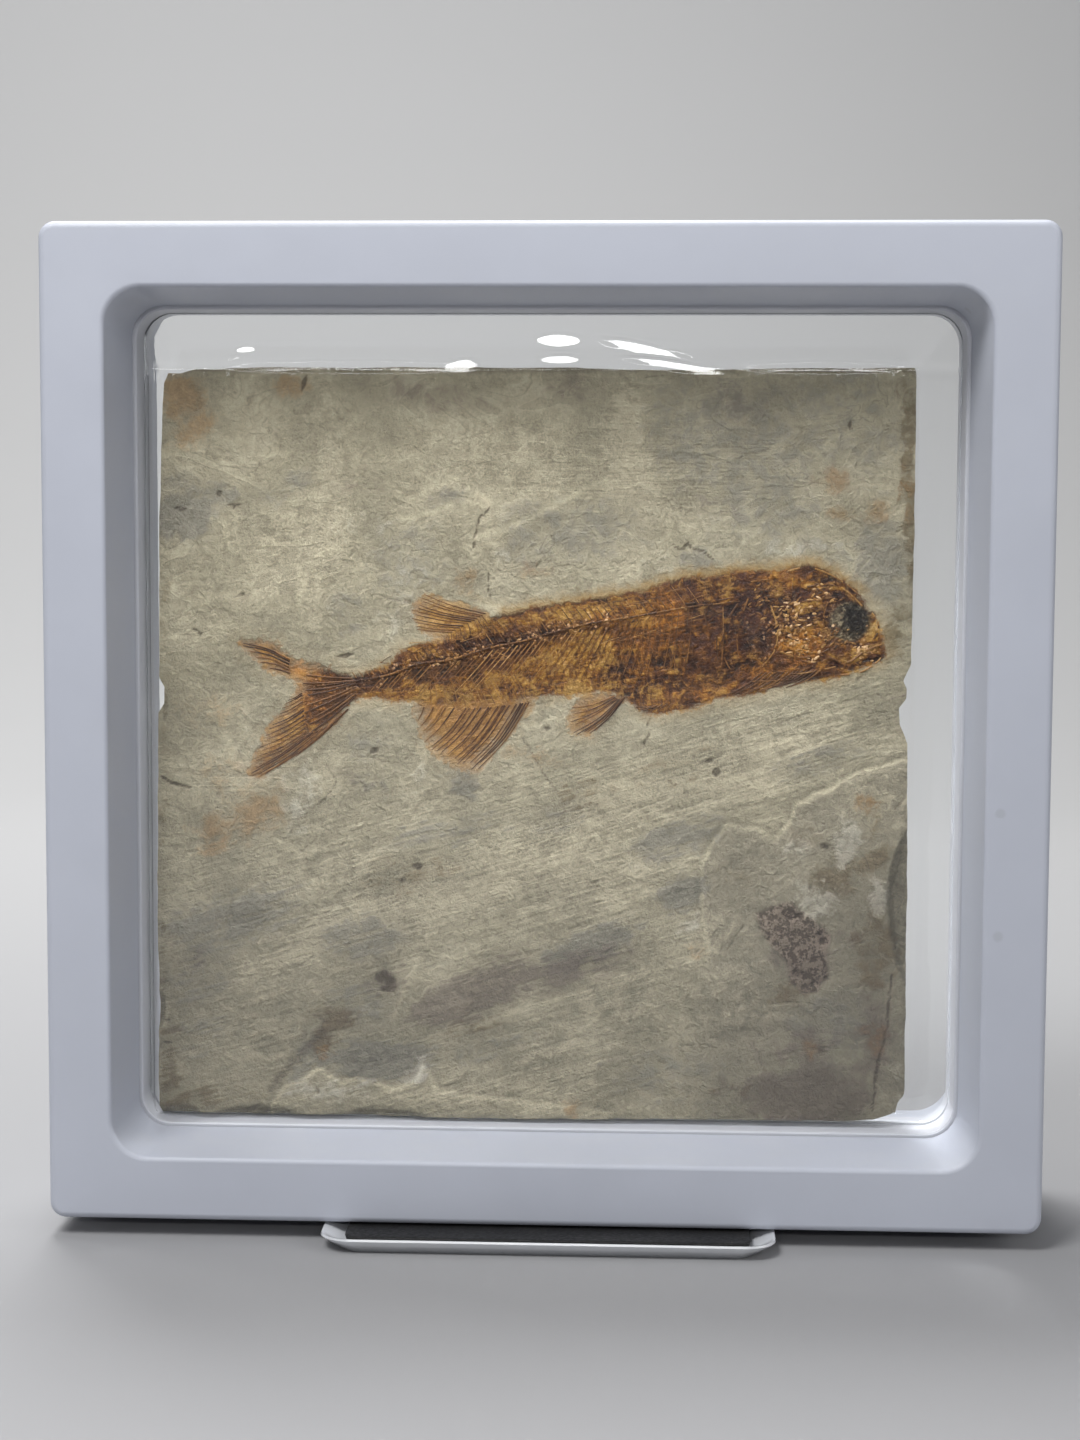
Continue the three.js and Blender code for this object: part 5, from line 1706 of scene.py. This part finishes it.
def makePlastic(name, tone, roughness, mould, dust, coat=0.0):
    material = newMaterial(name)
    tree, shader = material.tree, material.shader
    place = millimetres(tree)
    clouds = noise(tree, place, 0.035, 4, 0.55)
    darker = tuple(value * 0.985 for value in tone)
    colour = mixTone(tree, ease(tree, clouds, 0.35, 0.65), srgb(*darker), srgb(*tone))
    settled = useGroup(tree, settledDust, {"Vector": place, "Amount": dust})[0]
    colour = tinted(tree, settled, colour, (206, 205, 200))
    grime = grains(tree, place, 3.1, 0.035)
    colour = tinted(tree, times(tree, grime, 0.18), colour, (120, 118, 116))
    link(tree, colour, shader.inputs["Base Color"])
    scuffs = scrapes(tree, place, 34.4, 14.0, 0.5)
    polish = ease(tree, clouds, 0.3, 0.7, roughness - 0.04, roughness + 0.05)
    polish = plus(tree, polish, times(tree, settled, 0.25))
    polish = plus(tree, polish, ease(tree, scuffs, 0.66, 0.8, 0.0, 0.10))
    link(tree, polish, shader.inputs["Roughness"])
    shader.inputs["Coat Weight"].default_value = coat
    skin = noise(tree, place, 3.4, 3, 0.6)
    height = plus(tree, times(tree, skin, mould), times(tree, noise(tree, place, 0.05, 2), 0.25))
    addBump(material, height, mm, 0.8)
    return material.block


def makeRubber():
    material = newMaterial("matRubber")
    tree, shader = material.tree, material.shader
    place = millimetres(tree)
    settled = useGroup(tree, settledDust, {"Vector": place, "Amount": 0.2})[0]
    colour = mixTone(tree, settled, srgb(*plastic["matTone"]), srgb(74, 72, 70))
    link(tree, colour, shader.inputs["Base Color"])
    link(tree, ease(tree, noise(tree, place, 1.2, 3), 0.3, 0.7, 0.5, 0.7), shader.inputs["Roughness"])
    weave = put(tree, "TexVoronoi", {"Vector": place, "Scale": 1.1})
    addBump(material, weave.outputs["Distance"], 0.08 * mm)
    return material.block


def makeHolder():
    framePlastic = makePlastic("framePlastic", plastic["frameTone"], 0.42, 0.012, 0.16)
    ringPlastic = makePlastic("ringPlastic", plastic["ringTone"], 0.4, 0.01, 0.2)
    trayPlastic = makePlastic("trayPlastic", plastic["trayTone"], 0.16, 0.003, 0.12, 0.3)
    for side in ("front", "back"):
        smoothCopy(f"frame_{side}", f"frame_{side}_shell", framePlastic, "frame_plastic")
        smoothCopy(f"film_ring_{side}", f"film_ring_{side}_band", ringPlastic, "ring_plastic")
    smoothCopy("stand_tray", "stand_tray_dish", trayPlastic, "tray_plastic", 50)
    smoothCopy("stand_mat", "stand_mat_pad", makeRubber(), "mat_rubber", 50)


makeCamera()
makeLamps()
makeBackdrop()
print("studio ready")
makeHolder()
print("frame, rings and foot done")
makeSlab()
boneMaterial = makeBoneMaterial()
makeFins(boneMaterial)
boneDraws = np.random.default_rng(bones["seed"])
makeRibs(boneMaterial, boneDraws)
makeFineBones(boneMaterial, boneDraws)
makeVertebrae(boneMaterial, boneDraws)
makeSkull(boneMaterial)
print("fish bones done")
filmMaterial = makeFilmMaterial()
makeFilm(1, filmMaterial)
makeFilm(-1, filmMaterial)
print("films done")
